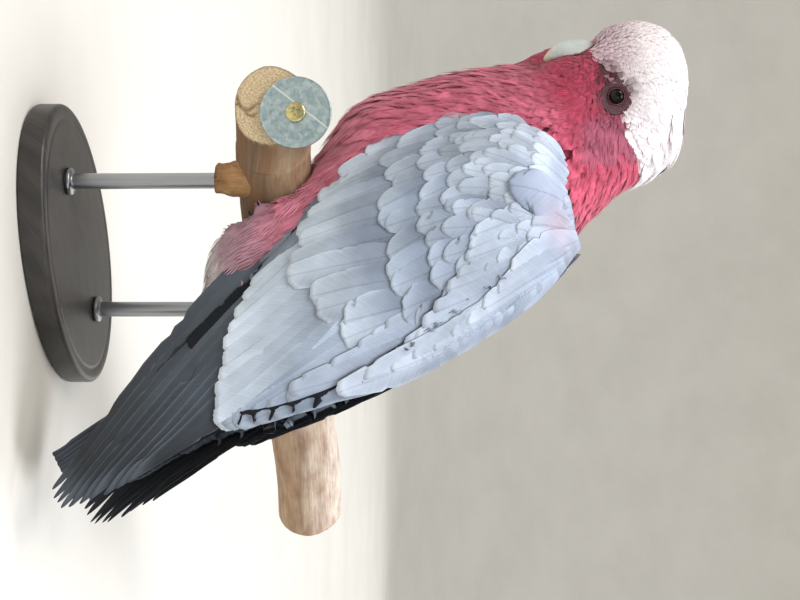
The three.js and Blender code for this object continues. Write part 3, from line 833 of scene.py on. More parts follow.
@dataclass(frozen=True)
class Markings:
    """Where each colour of the plumage lies, and which way the feathers point."""

    cap: str = "#f8f0f3"
    cap_low: str = "#d3bac4"
    lore: str = "#552b31"
    face: str = "#c64c67"
    # a darker rose: random tone over the face, and painted shadow under the bill
    face_deep_and_shadow: str = "#9a3650"
    cheek: str = "#b2627a"
    nape: str = "#de5f7b"
    breast: str = "#d06c85"
    breast_deep: str = "#a84a63"
    belly: str = "#d9859a"
    thigh: str = "#b98f9f"
    vent: str = "#cfc9c4"
    mantle: str = "#a6adba"
    rump: str = "#bcc2cb"
    def head_share(self, at: np.ndarray) -> np.ndarray:
        """How far each point belongs to the turned head, from 0 to 1."""
        return step((at - NECK_CUT_POINT) @ NECK_CUT_NORMAL, -7, 7)

    def cap_share(self, head: np.ndarray) -> np.ndarray:
        """How far each point of the head's frame lies in the pale cap and crest, from 0 to 1."""
        line = np.interp(head[:, 0], *zip(*CAP_EDGE))
        return step(head[:, 2] - line, -0.8, 0.8) * step(head[:, 0], -20, -25)

    def grey_share(self, at: np.ndarray) -> np.ndarray:
        """How far each point lies in the grey mantle, back and rump, from 0 to 1."""
        collar = at[:, 0] * 0.66 + at[:, 2] * -0.42 + np.abs(at[:, 1]) * 0.12
        behind = step(collar, -49.5, -46.0)
        upper = np.maximum(
            step(at[:, 0] * 0.55 + at[:, 2] * 0.6, 20, 27), step(at[:, 0] * 0.7 + at[:, 2] * 0.35, 18, 26)
        )
        under_tail = step(at[:, 0] * 0.66 - at[:, 2] * 0.75, 60, 68)
        return np.maximum(behind * upper, under_tail)

    def lore_share(self, head: np.ndarray) -> np.ndarray:
        """How far each point of the head's frame lies in the speckled dark patch between eye and bill, from
        0 to 1."""
        x, z = head[:, 0] - EYE_MIDDLE[0], head[:, 2] - EYE_MIDDLE[2]
        ahead = step(np.hypot((x + 10.5) / 1.7, z + 4.6), 5.8, 2.4)
        round_ring = 0.8 * step(np.hypot(x, z), 11.5, 8.0) * step(x + 0.4 * z, 2, -5)
        specks = np.clip(0.75 + 1.6 * ripple(head, 1.7, 8.0), 0.25, 1)
        return np.maximum(ahead, round_ring) * specks * step(np.abs(head[:, 1]), 5, 9)

    def colour(self, at: np.ndarray) -> np.ndarray:
        """The plumage's colour at points of the bird's frame, as linear red, green and blue."""
        head = bird_to_head(at)
        x, _, z = at.T
        head_x, _, head_z = head.T
        shallow = 1 - np.clip(0.5 + 1.1 * ripple(at, 9.0, 3.0), 0, 1)
        grey = self.grey_share(at)
        rose = mix(self.breast, self.breast_deep, 0.55 * shallow)
        rose = mix(rose, self.belly, step(z, 52, 4) * 0.8)
        rose = mix(rose, self.nape, step(x, -42, -14) * step(z, 84, 100))
        rose = mix(rose, self.thigh, step(z, 4, -22) * step(x, -20, 8))
        rose = mix(rose, self.vent, step(z - 0.25 * x + 3 * ripple(at, 6.0, 4.0), -27, -44))
        rose = mix(rose, mix(self.mantle, self.rump, step(z, 60, 0)), grey)
        face = mix(self.face, self.face_deep_and_shadow, 0.42 * shallow)
        face = mix(face, self.nape, step(head_x, -40, -30) * 0.8)
        # Painted shadow: a patch under the lower mandible, where the chin lies in the bill's shade.
        face = mix(
            face, self.face_deep_and_shadow, 0.65 * np.exp(-(((head_z - 98) / 5) ** 2 + ((head_x + 66) / 14) ** 2))
        )
        cheek = step(head_x, -57, -51) * step(head_x, -38, -41) * step(head_z, 113, 120)
        face = mix(face, self.cheek, 0.8 * cheek)
        low = step(head_z, 141, 124) * step(head_x, -66, -74)
        cap = mix(self.cap, self.cap_low, np.clip(low + 0.12 * ripple(at, 3.2, 8.0), 0, 1))
        face = mix(face, cap, self.cap_share(head))
        face = mix(face, self.lore, self.lore_share(head))
        return mix(rose, face, self.head_share(at) * (1 - 0.9 * grey))

    def lie(self, at: np.ndarray, out: np.ndarray) -> np.ndarray:
        """The direction along the surface that the feathers point in.

        Args:
            at: points of the bird's frame.
            out: the surface's outward directions there.

        Returns:
            One unit vector for each point.
        """
        share = self.head_share(at)[:, None]
        on_head = turn(self._flow(bird_to_head(at), HEAD_LIE), HEAD_TURN)
        flow = self._flow(at, BODY_LIE) * (1 - share) + on_head * share
        return unit(flow - (flow * out).sum(1, keepdims=True) * out)

    @staticmethod
    def _flow(at: np.ndarray, table: tuple[Lie, ...]) -> np.ndarray:
        """The directions of a table, blended by nearness, the same on both sides of the bird."""
        side = np.where(at[:, 1] > 0, 1.0, -1.0)
        left = at * np.stack([np.ones_like(side), -side, np.ones_like(side)], 1)
        total = np.zeros_like(at)
        for row in table:
            near = ((left - np.array(row.at)) ** 2).sum(1)
            total += unit(np.array(row.towards, float)) / (near[:, None] + 16) ** 2
        flow = unit(total)
        flow[:, 1] *= -side
        return flow


MARKINGS = Markings()


def under_wing(at: np.ndarray) -> np.ndarray:
    """The colour of a wing's inner side at points of the bird's frame: grey by the shoulder, slate towards
    the tip."""
    return mix("#8b93a1", "#202329", step(at[:, 2] - at[:, 0] * 0.3, 30, 14))


# ---- Skin ----
@dataclass
class Skin:
    """One closed skin over head, neck, trunk and the arms of the wings, inside the feathers by their
    depth."""

    voxel: float = 1.5
    rounds: int = 16
    face_depth: float = 1.3
    nape_depth: float = 2.5
    body_depth: float = 2.9
    wing_depth: float = 3.0
    # how far the markings are darkened on the skin, as painted shade in the gaps under the feathers
    shade: float = 0.72
    flesh: tuple[str, ...] = ("head", "crest", "neck", "trunk")
    made: bpy.types.Object = field(init=False, default=None)

    def depth(self, at: np.ndarray) -> np.ndarray:
        """The coat's depth over points of the bird's frame, in mm."""
        front = step(bird_to_head(at)[:, 0], -38, -66)
        on_head = self.nape_depth + (self.face_depth - self.nape_depth) * front
        return self.body_depth + (on_head - self.body_depth) * MARKINGS.head_share(at)

    def build(self) -> bpy.types.Object:
        """Makes the skin, unwraps it, and paints it with the bird's own markings, darkened as painted shade
        under the feathers.
        """
        arms = wing_nodes("left", "right", parts=WING_PARTS[:2])
        self.made = rounded_form([*self.flesh, *arms], self.voxel, self.rounds)
        self.made.name = "skin"
        mesh = self.made.data
        frame_at, out = places(mesh), normals(mesh)
        at = to_bird(frame_at)
        to_body, to_wing = (
            np.array([tree.find_nearest(Vector(p))[3] for p in frame_at])
            for tree in (nodes_tree(list(self.flesh)), nodes_tree(arms))
        )
        wing = step((to_wing - to_body) / MM, 2.0, -2.0)
        depth = self.depth(at) * (1 - wing) + self.wing_depth * wing
        move(mesh, to_frame(at - out * depth[:, None]))
        store(mesh, "wing", "FLOAT", wing)
        # Painted shade: the markings and the wing's inner colour are darkened on the skin, which lies in
        # the shade of the feathers.
        colour = mix(MARKINGS.colour(at) * self.shade, under_wing(at) * 0.8, wing)
        store(mesh, "plumage", "FLOAT_COLOR", colour)
        store(mesh, "barb", "FLOAT_VECTOR", at / 3.0)
        unwrap(self.made)
        hand_in(self.made, BODY_SKIN.material(), self.flesh)
        return self.made


# ---- The coat of small feathers ----
class Region(Enum):
    """The parts of the coat that have feathers of their own kind."""

    BARE = -1
    FOREHEAD = 0
    CROWN = 1
    CREST = 2
    FACE = 3
    CHEEK = 4
    NECK = 5
    BREAST = 6
    BELLY = 7
    MANTLE = 8
    RUMP = 9
    LINING = 10


class FeatherKind(Enum):
    """The shapes of small feather, in the order that the coat picks them by."""

    SOFT = 0  # rounded, closed, its tip finely frayed
    BRISTLE = 1  # a small tuft of loose barbs
    LANCE = 2  # pointed, its barbs parting towards the tip
    BROAD = 3  # wide and round, its web whole almost to the edge
    DOWNY = 4  # loose long barbs without a closed web


@dataclass(frozen=True)
class FeatherShape:
    """One small feather, one unit long and wide, lying flat with its root at the origin and its tip along
    +Y."""

    kind: FeatherKind
    barbs: int
    closed_rows: int
    loose_rows: int
    split: float
    round_tip: float
    spread: float
    crown: float

    def build(self) -> bpy.types.Object:
        """The feather as an unlinked object, with its lift and barb places kept on its vertices."""
        rng = np.random.default_rng(40 + self.kind.value)
        across = np.linspace(-1, 1, self.barbs + 1)
        points, lift, barb, faces = [], [], [], []

        def width(v: float) -> float:
            """Half the feather's width at a share of its length."""
            swell = math.sin(min(v / 0.55, 1.0) * math.pi / 2) ** 0.8
            narrow = 1 - (1 - self.round_tip) * max(0.0, (v - 0.5) / 0.5) ** 1.5
            return 0.5 * (0.22 + 0.78 * swell) * narrow

        def put(u: float, v: float, reach: float, seed: float) -> int:
            """Adds one vertex and returns its number."""
            loose = max(0.0, v - self.split) / (1 - self.split)
            x = u * width(v) * (1 + self.spread * loose)
            length = (1 - 0.42 * abs(u) ** 2.2 * (1 - 0.5 * self.round_tip)) * reach
            points.append((x, v * length, 0.0))
            lift.append(0.12 + 0.88 * v ** 0.8 + self.crown * (1 - u * u) - 0.1 * loose * loose)
            barb.append((u, v, seed))
            return len(points) - 1

        rows = [
            [put(u, self.split * r / self.closed_rows, 1.0, 0.5) for u in across]
            for r in range(self.closed_rows + 1)
        ]
        for lower, upper in zip(rows, rows[1:]):
            for k in range(self.barbs):
                faces.append((lower[k], lower[k + 1], upper[k + 1], upper[k]))
        for k in range(self.barbs):
            reach = 1 - 0.16 * rng.random()
            seed = rng.random()
            left, right = rows[-1][k], rows[-1][k + 1]
            middle = (across[k] + across[k + 1]) / 2 + 0.1 * (rng.random() - 0.5) / self.barbs
            for r in range(1, self.loose_rows + 1):
                t = r / self.loose_rows
                v = self.split + (1 - self.split) * t
                if r == self.loose_rows:
                    faces.append((left, right, put(middle, v, reach, seed)))
                    continue
                half = (1 - 0.75 * t) / self.barbs
                near, far = put(middle - half, v, reach, seed), put(middle + half, v, reach, seed)
                faces.append((left, right, far, near))
                left, right = near, far
        mesh = bpy.data.meshes.new(f"feather_{self.kind.value}")
        mesh.from_pydata(points, [], faces)
        mesh.polygons.foreach_set("use_smooth", np.full(len(faces), True))
        store(mesh, "lift", "FLOAT", np.array(lift))
        store(mesh, "barb", "FLOAT_VECTOR", np.array(barb))
        return bpy.data.objects.new(mesh.name, mesh)


FEATHER_SHAPES = (
    FeatherShape(
        FeatherKind.SOFT, barbs=6, closed_rows=3, loose_rows=1, split=0.82, round_tip=0.8, spread=0.05,
        crown=0.12
    ),
    FeatherShape(
        FeatherKind.BRISTLE, barbs=5, closed_rows=1, loose_rows=3, split=0.3, round_tip=0.5, spread=0.5,
        crown=0.15
    ),
    FeatherShape(
        FeatherKind.LANCE, barbs=8, closed_rows=3, loose_rows=2, split=0.52, round_tip=0.42, spread=0.35,
        crown=0.2
    ),
    FeatherShape(
        FeatherKind.BROAD, barbs=8, closed_rows=4, loose_rows=1, split=0.9, round_tip=0.86, spread=0.02,
        crown=0.14
    ),
    FeatherShape(
        FeatherKind.DOWNY, barbs=8, closed_rows=1, loose_rows=4, split=0.2, round_tip=0.7, spread=0.7,
        crown=0.25
    ),
)


@dataclass(frozen=True)
class Tract:
    """How the feathers of one region are set: sizes in mm, and how unruly they are."""

    region: Region
    kind: FeatherKind
    spacing: float
    length: float
    width: float
    tumble: float  # how far each feather turns off the lie, in degrees
    ruffle: float  # spread of how high the tips stand
    shade: float  # spread of how light each one is
    name: str
    slot: str


TRACTS = (
    Tract(Region.FOREHEAD, FeatherKind.SOFT, 1.3, 5.2, 2.7, 5, 0.06, 0.04, "cap", "cap_plumage"),
    Tract(Region.CROWN, FeatherKind.SOFT, 1.65, 9.5, 4.6, 7, 0.12, 0.04, "cap", "cap_plumage"),
    Tract(Region.CREST, FeatherKind.LANCE, 2.3, 22.0, 6.0, 9, 0.6, 0.05, "cap", "cap_plumage"),
    Tract(Region.FACE, FeatherKind.BRISTLE, 1.1, 4.4, 1.7, 12, 0.12, 0.12, "face", "pink_plumage"),
    Tract(Region.CHEEK, FeatherKind.BRISTLE, 1.35, 9.0, 2.6, 9, 0.16, 0.12, "cheeks", "pink_plumage"),
    Tract(Region.NECK, FeatherKind.LANCE, 2.1, 12.0, 4.8, 9, 0.22, 0.12, "neck", "pink_plumage"),
    Tract(Region.BREAST, FeatherKind.LANCE, 2.6, 14.5, 5.8, 10, 0.26, 0.13, "breast", "pink_plumage"),
    Tract(Region.BELLY, FeatherKind.DOWNY, 2.9, 15.0, 6.5, 13, 0.35, 0.14, "belly", "pink_plumage"),
    Tract(Region.MANTLE, FeatherKind.BROAD, 3.8, 16.0, 10.0, 5, 0.12, 0.05, "mantle", "grey_plumage"),
    Tract(Region.RUMP, FeatherKind.BROAD, 4.0, 17.0, 9.0, 7, 0.2, 0.05, "rump", "grey_plumage"),
    Tract(Region.LINING, FeatherKind.BROAD, 5.0, 16.0, 9.0, 7, 0.2, 0.06, "wing_lining", "grey_plumage"),
)


@dataclass
class Coat:
    """The small feathers of the head, neck, trunk and wing linings, rooted in the skin."""

    skin: Skin
    seed: int = 7
    patch: float = 0.003

    def build(self) -> list[bpy.types.Object]:
        """Makes every piece of the coat."""
        group = bpy.data.collections.new("feather_shapes")
        shapes = [shape.build() for shape in FEATHER_SHAPES]
        for shape in shapes:
            group.objects.link(shape)
        roots = self._roots()
        tree = self._tree()
        left = roots["at"][:, 1] < 0
        made = []
        for name, slot in dict.fromkeys((t.name, t.slot) for t in TRACTS):
            rows = np.isin(roots["region"], [t.region.value for t in TRACTS if t.name == name])
            for side, part in (("left", rows & left), ("right", rows & ~left)):
                if part.any():
                    own = {key: values[part] for key, values in roots.items()}
                    made.append(self._piece(f"feathers_{name}_{side}", own, tree, group))
        for shape in shapes:
            discard(shape)
        bpy.data.collections.remove(group)
        return made

    def _regions(self, at: np.ndarray, out: np.ndarray, wing: np.ndarray) -> np.ndarray:
        """The region that each point belongs to, by its value, bare where no small feather grows."""
        head = bird_to_head(at)
        x, y, z = head.T
        on_head = MARKINGS.head_share(at) > 0.5
        cap = on_head & (MARKINGS.cap_share(head) > 0.5)
        grey = MARKINGS.grey_share(at) > 0.5
        near_bill = np.hypot(x + 77, z - 116) < 13
        eye_x, eye_z = x - EYE_MIDDLE[0], z - EYE_MIDDLE[2]
        near_eye = np.hypot(eye_x, eye_z) < 12
        in_ring = (np.hypot(eye_x / 7.4, eye_z / 6.6) < 1) & (np.abs(y) > 8)
        region = np.full(len(at), Region.BREAST.value)
        for where, kind in (
            ((at[:, 2] < 26) & (at[:, 0] < 40), Region.BELLY),
            (at[:, 2] > 84, Region.NECK),
            (grey, Region.MANTLE),
            (grey & (at[:, 2] < 50), Region.RUMP),
            (on_head & ~grey, Region.NECK),
            (on_head & (x < -44) & (z < 130), Region.CHEEK),
            (on_head & (near_bill | near_eye), Region.FACE),
            (cap, Region.CROWN),
            (cap & ((x < -70) | near_eye | (near_bill & (z < 126))), Region.FOREHEAD),
            (cap & (x > -60) & (np.abs(y) < 15) & (z > 146), Region.CREST),
            (wing > 0.5, Region.LINING),
            ((wing > 0.5) & (out[:, 1] * np.sign(at[:, 1]) > 0.15), Region.BARE),
            (on_head & in_ring, Region.BARE),
        ):
            region[where] = kind.value
        return region

    def _roots(self) -> dict[str, np.ndarray]:
        """Sets the feathers' roots evenly over the skin, each region at its own spacing."""
        rng = np.random.default_rng(self.seed)
        mesh = self.skin.made.data
        mesh.calc_loop_triangles()
        corner = np.empty(len(mesh.loop_triangles) * 3, np.int32)
        loops = np.empty(len(mesh.loop_triangles) * 3, np.int32)
        mesh.loop_triangles.foreach_get("vertices", corner)
        mesh.loop_triangles.foreach_get("loops", loops)
        corner, loops = corner.reshape(-1, 3), loops.reshape(-1, 3)
        at, out, wing = to_bird(places(mesh)), normals(mesh), read(mesh, "wing", 1)
        flat = np.empty(len(mesh.loops) * 2, np.float32)
        mesh.uv_layers["OFBake"].uv.foreach_get("vector", flat)
        flat = flat.reshape(-1, 2)
        a, b, c = (at[corner[:, k]] for k in range(3))
        area = np.linalg.norm(np.cross(b - a, c - a), axis=1) / 2
        middle = (a + b + c) / 3
        region = self._regions(middle, unit(out[corner].mean(1)), wing[corner].mean(1))
        region[self._covered(middle, unit(out[corner].mean(1)), region)] = Region.BARE.value
        found = []
        for tract in TRACTS:
            rows = np.flatnonzero(region == tract.region.value)
            if not len(rows):
                continue
            share = area[rows] / area[rows].sum()
            tries = int(area[rows].sum() / tract.spacing**2 * 5)
            face = rng.choice(rows, tries, p=share)
            r, s = np.sqrt(rng.random(tries)), rng.random(tries)
            weight = np.stack([1 - r, r * (1 - s), r * s], 1)
            spot = (at[corner[face]] * weight[..., None]).sum(1)
            kept = np.array(self._apart(spot, tract.spacing))
            face, weight, spot = face[kept], weight[kept], spot[kept]
            found.append({
                "at": spot,
                "out": unit((out[corner[face]] * weight[..., None]).sum(1)),
                "flat": (flat[loops[face]] * weight[..., None]).sum(1),
                "region": np.full(len(spot), tract.region.value),
                "kind": np.full(len(spot), tract.kind.value),
            })
            log.info("%s: %d roots", tract.region.name.lower(), len(spot))
        roots = {key: np.concatenate([rows[key] for rows in found]) for key in found[0]}
        return self._combed(roots, rng)

    @staticmethod
    def _over_wing(roots: dict[str, np.ndarray], rng: np.random.Generator) -> np.ndarray:
        """Whether each combed feather would come out through the outer face of a wing."""
        tree = nodes_tree(wing_nodes("left", "right"))
        crossing = np.zeros(len(roots["at"]), bool)
        reach = roots["lie"] * roots["size"][:, 1:2] / MM + roots["out"] * roots["depth"][:, None]
        for share in (0.45, 0.75, 1.0):
            spots = to_frame(roots["at"] + reach * share)
            for k in np.flatnonzero(~crossing):
                side = math.copysign(1.0, roots["at"][k, 1])
                start = Vector((spots[k, 0], side * 0.1, spots[k, 2]))
                hit = tree.ray_cast(start, Vector((0, -side, 0)), 0.1)[0]
                crossing[k] = hit is not None and side * (spots[k, 1] - hit[1]) > -0.0085
        height = roots["at"][:, 2]
        wisp = (rng.random(len(crossing)) < 0.10) & (height > 4) & (height < 40)
        return crossing & ~wisp

    def _covered(self, at: np.ndarray, out: np.ndarray, region: np.ndarray) -> np.ndarray:
        """Whether each point lies hidden: under a wing, against the perch or the bill, or by a foot."""
        wing_tree = nodes_tree(wing_nodes("left", "right"))
        hard_tree = nodes_tree(["perch_branch", "bill_upper", "bill_lower", "foot_left", "foot_right"])
        hidden = np.zeros(len(at), bool)
        for k in np.flatnonzero(region != Region.BARE.value):
            spot, way = Vector(to_frame(at[k])), Vector(out[k])
            if region[k] != Region.LINING.value:
                hidden[k] = wing_tree.ray_cast(spot + way * 4.5 * MM, way, 11 * MM)[0] is not None
            near = hard_tree.find_nearest(spot, 4 * MM)
            if near[0] is not None and near[3] < 1.6 * MM:
                hidden[k] = True
        return hidden

    @staticmethod
    def _apart(spots: np.ndarray, spacing: float) -> list[int]:
        """Picks from random spots those that keep a least distance from each other."""
        kept: list[int] = []
        cells: dict[tuple[int, ...], list[int]] = {}
        gap = (spacing * 0.86) ** 2
        around_cell = list(product((-1, 0, 1), repeat=3))
        index = np.floor(spots / spacing).astype(int).tolist()
        rows = spots.tolist()
        for n, (i, j, k) in enumerate(index):
            x, y, z = rows[n]
            near = (rows[m] for a, b, c in around_cell for m in cells.get((i + a, j + b, k + c), ()))
            if not any((p[0] - x) ** 2 + (p[1] - y) ** 2 + (p[2] - z) ** 2 < gap for p in near):
                kept.append(n)
                cells.setdefault((i, j, k), []).append(n)
        return kept

    def _combed(self, roots: dict[str, np.ndarray], rng: np.random.Generator) -> dict[str, np.ndarray]:
        """Adds each feather's lie, size, lift and shade to its root."""
        at, out = roots["at"], roots["out"]
        count = len(at)
        tracts = {t.region.value: t for t in TRACTS}
        numbers = attrgetter("length", "width", "tumble", "ruffle", "shade")
        own_length, width, tumble, ruffle, shade = np.array([numbers(tracts[r]) for r in roots["region"]]).T
        clump = np.stack([ripple(at, 7.0, 20.0 + k) for k in range(2)], 1)
        lie = MARKINGS.lie(at, out)
        across = np.cross(out, lie)
        off = np.radians(tumble * (rng.standard_normal(count) * 0.7 + 1.6 * clump[:, 0]))
        lie = lie * np.cos(off)[:, None] + across * np.sin(off)[:, None]
        length = own_length * (1 + (0.08 + 0.25 * ruffle) * rng.standard_normal(count)).clip(0.6, 1.4)
        lie, length = self._round_eye(bird_to_head(at), lie, length, MARKINGS.head_share(at) > 0.5)
        lift = 0.92 + ruffle * (0.5 * rng.standard_normal(count) + 1.3 * clump[:, 1])
        roots["lie"] = unit(lie)
        roots["depth"] = np.clip(self.skin.depth(at) * lift, 0.7, 5.2)
        roots["size"] = np.stack([width * (1 + 0.1 * rng.standard_normal(count)), length, length], 1) * MM
        roots["shade"] = 1 + shade * rng.standard_normal(count) * 0.8
        kept = ~self._over_wing(roots, rng)
        return {key: values[kept] for key, values in roots.items()}

    @staticmethod
    def _round_eye(
        head: np.ndarray, lie: np.ndarray, length: np.ndarray, on_head: np.ndarray
    ) -> tuple[np.ndarray, np.ndarray]:
        """Turns and shortens the feathers that would lie across the bare eye ring."""
        way = turn(lie, -HEAD_TURN)
        off = (head - EYE_MIDDLE) * [1.0, 0.0, 1.0]
        far = np.linalg.norm(off, axis=1)
        inward = -(way * unit(off)).sum(1)
        near = on_head & (far < 19) & (np.abs(head[:, 1]) > 6) & (inward > 0)
        turning = np.where(near, step(far, 17, 8), 0)
        way = way + unit(off) * (inward * turning * 0.9)[:, None]
        room = np.maximum(far - 6.9, 0.8) / np.maximum(inward, 0.25)
        return turn(unit(way), HEAD_TURN), np.where(near, np.minimum(length, room + 1.0), length)

    def _tree(self) -> bpy.types.NodeTree:
        """The tree that sets one feather on each root and bends it to the skin."""
        tree = bpy.data.node_groups.new("small feathers", "GeometryNodeTree")
        for name, kind in (
            ("Roots", "NodeSocketGeometry"), ("Skin", "NodeSocketObject"), (
                "Shapes", "NodeSocketCollection"
            ),
            ("Depth scale", "NodeSocketFloat"), ("Finish", "NodeSocketMaterial"),
        ):
            tree.interface.new_socket(name, in_out="INPUT", socket_type=kind)
        tree.interface.new_socket("Coat", in_out="OUTPUT", socket_type="NodeSocketGeometry")
        start = add_node(tree, "NodeGroupInput")
        named = {
            name: add_node(
                tree, "GeometryNodeInputNamedAttribute", {"Name": name}, data_type=kind
            ).outputs["Attribute"]
            for name, kind in (
                ("out", "FLOAT_VECTOR"), ("lie", "FLOAT_VECTOR"), ("size", "FLOAT_VECTOR"), ("kind", "INT"),
                ("depth", "FLOAT"), ("lift", "FLOAT"),
            )
        }
        turned = add_node(
            tree, "FunctionNodeAxesToRotation", {
                0: named["out"], 1: named["lie"]
            }, primary_axis="Z", secondary_axis="Y"
        )
        shapes = add_node(
            tree, "GeometryNodeCollectionInfo",
            {"Collection": start.outputs["Shapes"], "Separate Children": True, "Reset Children": True},
        )
        placed = add_node(
            tree, "GeometryNodeInstanceOnPoints",
            {"Points": start.outputs["Roots"], "Instance": shapes.outputs[0], "Pick Instance": True,
             "Instance Index": named["kind"], "Rotation": turned.outputs[0], "Scale": named["size"]},
        )
        real = add_node(tree, "GeometryNodeRealizeInstances", {"Geometry": placed.outputs[0]})
        skin = add_node(tree, "GeometryNodeObjectInfo", {"Object": start.outputs["Skin"]})
        near = add_node(
            tree, "GeometryNodeProximity", {0: skin.outputs["Geometry"]}, target_element="FACES"
        )
        facing = add_node(tree, "GeometryNodeInputNormal")
        sampled = add_node(
            tree, "GeometryNodeSampleNearestSurface",
            {"Mesh": skin.outputs["Geometry"], "Value": facing.outputs[0]}, data_type="FLOAT_VECTOR",
        )
        height = add_node(
            tree, "ShaderNodeMath", {0: named["depth"], 1: named["lift"]}, operation="MULTIPLY"
        )
        scaled = add_node(
            tree, "ShaderNodeMath", {
                0: height.outputs[0], 1: start.outputs["Depth scale"]
            }, operation="MULTIPLY"
        )
        raised = add_node(
            tree, "ShaderNodeVectorMath", {
                0: sampled.outputs["Value"], "Scale": scaled.outputs[0]
            }, operation="SCALE"
        )
        where = add_node(tree, "ShaderNodeVectorMath", {0: near.outputs["Position"], 1: raised.outputs[0]})
        bent = add_node(
            tree, "GeometryNodeSetPosition", {"Geometry": real.outputs[0], "Position": where.outputs[0]}
        )
        dressed = add_node(
            tree, "GeometryNodeSetMaterial", {
                "Geometry": bent.outputs[0], "Material": start.outputs["Finish"]
            }
        )
        add_node(tree, "NodeGroupOutput", {"Coat": dressed.outputs[0]})
        return tree

    def _piece(
        self, name: str, roots: dict[
            str, np.ndarray
        ], tree: bpy.types.NodeTree, group: bpy.types.Collection
    ) -> bpy.types.Object:
        """One piece of the coat, as plain mesh with its colours and its map.

        Args:
            name: the piece's name.
            roots: the roots' places and what the feathers on them are like.
            tree: the tree that sets the feathers.
            group: the feather shapes.

        Returns:
            The finished object.
        """
        made = made_object(name, roots["at"], [])
        mesh = made.data
        for key, kind in (("out", "FLOAT_VECTOR"), ("lie", "FLOAT_VECTOR"), ("size", "FLOAT_VECTOR"),
                          ("kind", "INT"), ("depth", "FLOAT")):
            store(mesh, key, kind, roots[key])
        store(mesh, "root", "INT", np.arange(len(roots["at"])))
        setter = made.modifiers.new("feathers", "NODES")
        setter.node_group = tree
        sockets = {s.name: s.identifier for s in tree.interface.items_tree if s.in_out == "INPUT"}
        setter[sockets["Skin"]] = self.skin.made
        setter[sockets["Shapes"]] = group
        setter[sockets["Depth scale"]] = MM
        setter[sockets["Finish"]] = BODY_FEATHER.material()
        settled(made)
        mesh = made.data
        mesh.polygons.foreach_set("use_smooth", np.full(len(mesh.polygons), True))
        root, barb = read(mesh, "root", 1).astype(int), read(mesh, "barb", 3)
        self._colour(mesh, roots, root, barb)
        middle = roots["flat"][root]
        set_map(mesh, "OFBake", middle + (barb[:, :2] * [0.5, 1.0] - [0.0, 0.5]) * self.patch)
        barb[:, 2] = (root * 0.618) % 1 + barb[:, 2] * 0.1
        store(mesh, "barb", "FLOAT_VECTOR", barb)
        for key in ("out", "lie", "size", "kind", "depth", "root", "lift"):
            if mesh.attributes.get(key):
                mesh.attributes.remove(mesh.attributes[key])
        hand_in(made, BODY_FEATHER.material())
        return made

    @staticmethod
    def _colour(
        mesh: bpy.types.Mesh, roots: dict[str, np.ndarray], root: np.ndarray, barb: np.ndarray
    ) -> None:
        """Paints each feather with the marking at its root, darker at its base, partly the greyer base of a
        real feather and partly painted shade where the feathers overlap, and varied from barb to barb."""
        lining = (roots["region"] == Region.LINING.value)[:, None]
        base = np.where(
            lining, under_wing(roots["at"]), MARKINGS.colour(roots["at"])
        ) * roots["shade"][:, None]
        along = barb[:, 1]
        strand = 1 + 0.16 * (np.modf(barb[:, 2] * 17.0 + root * 0.37)[0] - 0.5) * (along > 0.3)
        pale = (roots["region"][root] <= Region.CREST.value) | (
            roots["region"][root] >= Region.MANTLE.value
        )
        # Darker towards the root: partly a real feather's greyer base, partly painted shade under the
        # feathers that overlap it.
        grey_base_and_painted_shade = np.where(pale, 0.88 + 0.14 * along, 0.76 + 0.30 * along)
        store(mesh, "plumage", "FLOAT_COLOR", np.clip(base[root] * (strand * grey_base_and_painted_shade)[:, None], 0, 1))


# ---- Wing and tail feathers ----
@dataclass(frozen=True)
class Outline:
    """The outline of one large feather, by the share of its length."""

    root_width: float
    full_at: float
    taper_from: float
    tip_width: float
    roundness: float

    def half_width(self, v: np.ndarray) -> np.ndarray:
        """Half of the web's width as a share of its greatest half width."""
        grow = self.root_width + (1 - self.root_width) * np.sin(
            np.clip(v / self.full_at, 0, 1) * math.pi / 2
        )
        taper = 1 - (1 - self.tip_width) * np.clip(
            (v - self.taper_from) / (1 - self.taper_from), 0, 1
        ) ** 1.4
        return grow * taper


COVERT = Outline(root_width=0.35, full_at=0.5, taper_from=0.55, tip_width=0.8, roundness=0.42)
LONG_COVERT = Outline(root_width=0.5, full_at=0.4, taper_from=0.6, tip_width=0.78, roundness=0.2)
REMEX = Outline(root_width=0.6, full_at=0.25, taper_from=0.55, tip_width=0.6, roundness=0.22)
PRIMARY = Outline(root_width=0.6, full_at=0.2, taper_from=0.4, tip_width=0.22, roundness=0.7)
LANCET = Outline(root_width=0.45, full_at=0.45, taper_from=0.5, tip_width=0.5, roundness=0.22)
RECTRIX = Outline(root_width=0.55, full_at=0.4, taper_from=0.8, tip_width=0.86, roundness=0.08)


@dataclass(frozen=True)
class Row:
    """A row of wing feathers, by the X and Z of their roots and tips from the lower edge to the upper one,
    in mm."""

    name: str
    count: int
    roots: tuple[tuple[float, float], ...]
    tips: tuple[tuple[float, float], ...]
    widths: tuple[float, float]
    level: float
    outline: Outline
    base: str
    tip: str
    rim: str = ""
    bow_low: float = 0.0
    bow: float = 0.0
    rise: float = 0.45
    crown: float = 0.45
    tilt: float = 0.26
    wander: float = 0.6
    rows: int = 18
    covered_web_shade: float = 0.0
    # how much painted shade darkens the web that the next feather lies over
    stack: float = 0.03


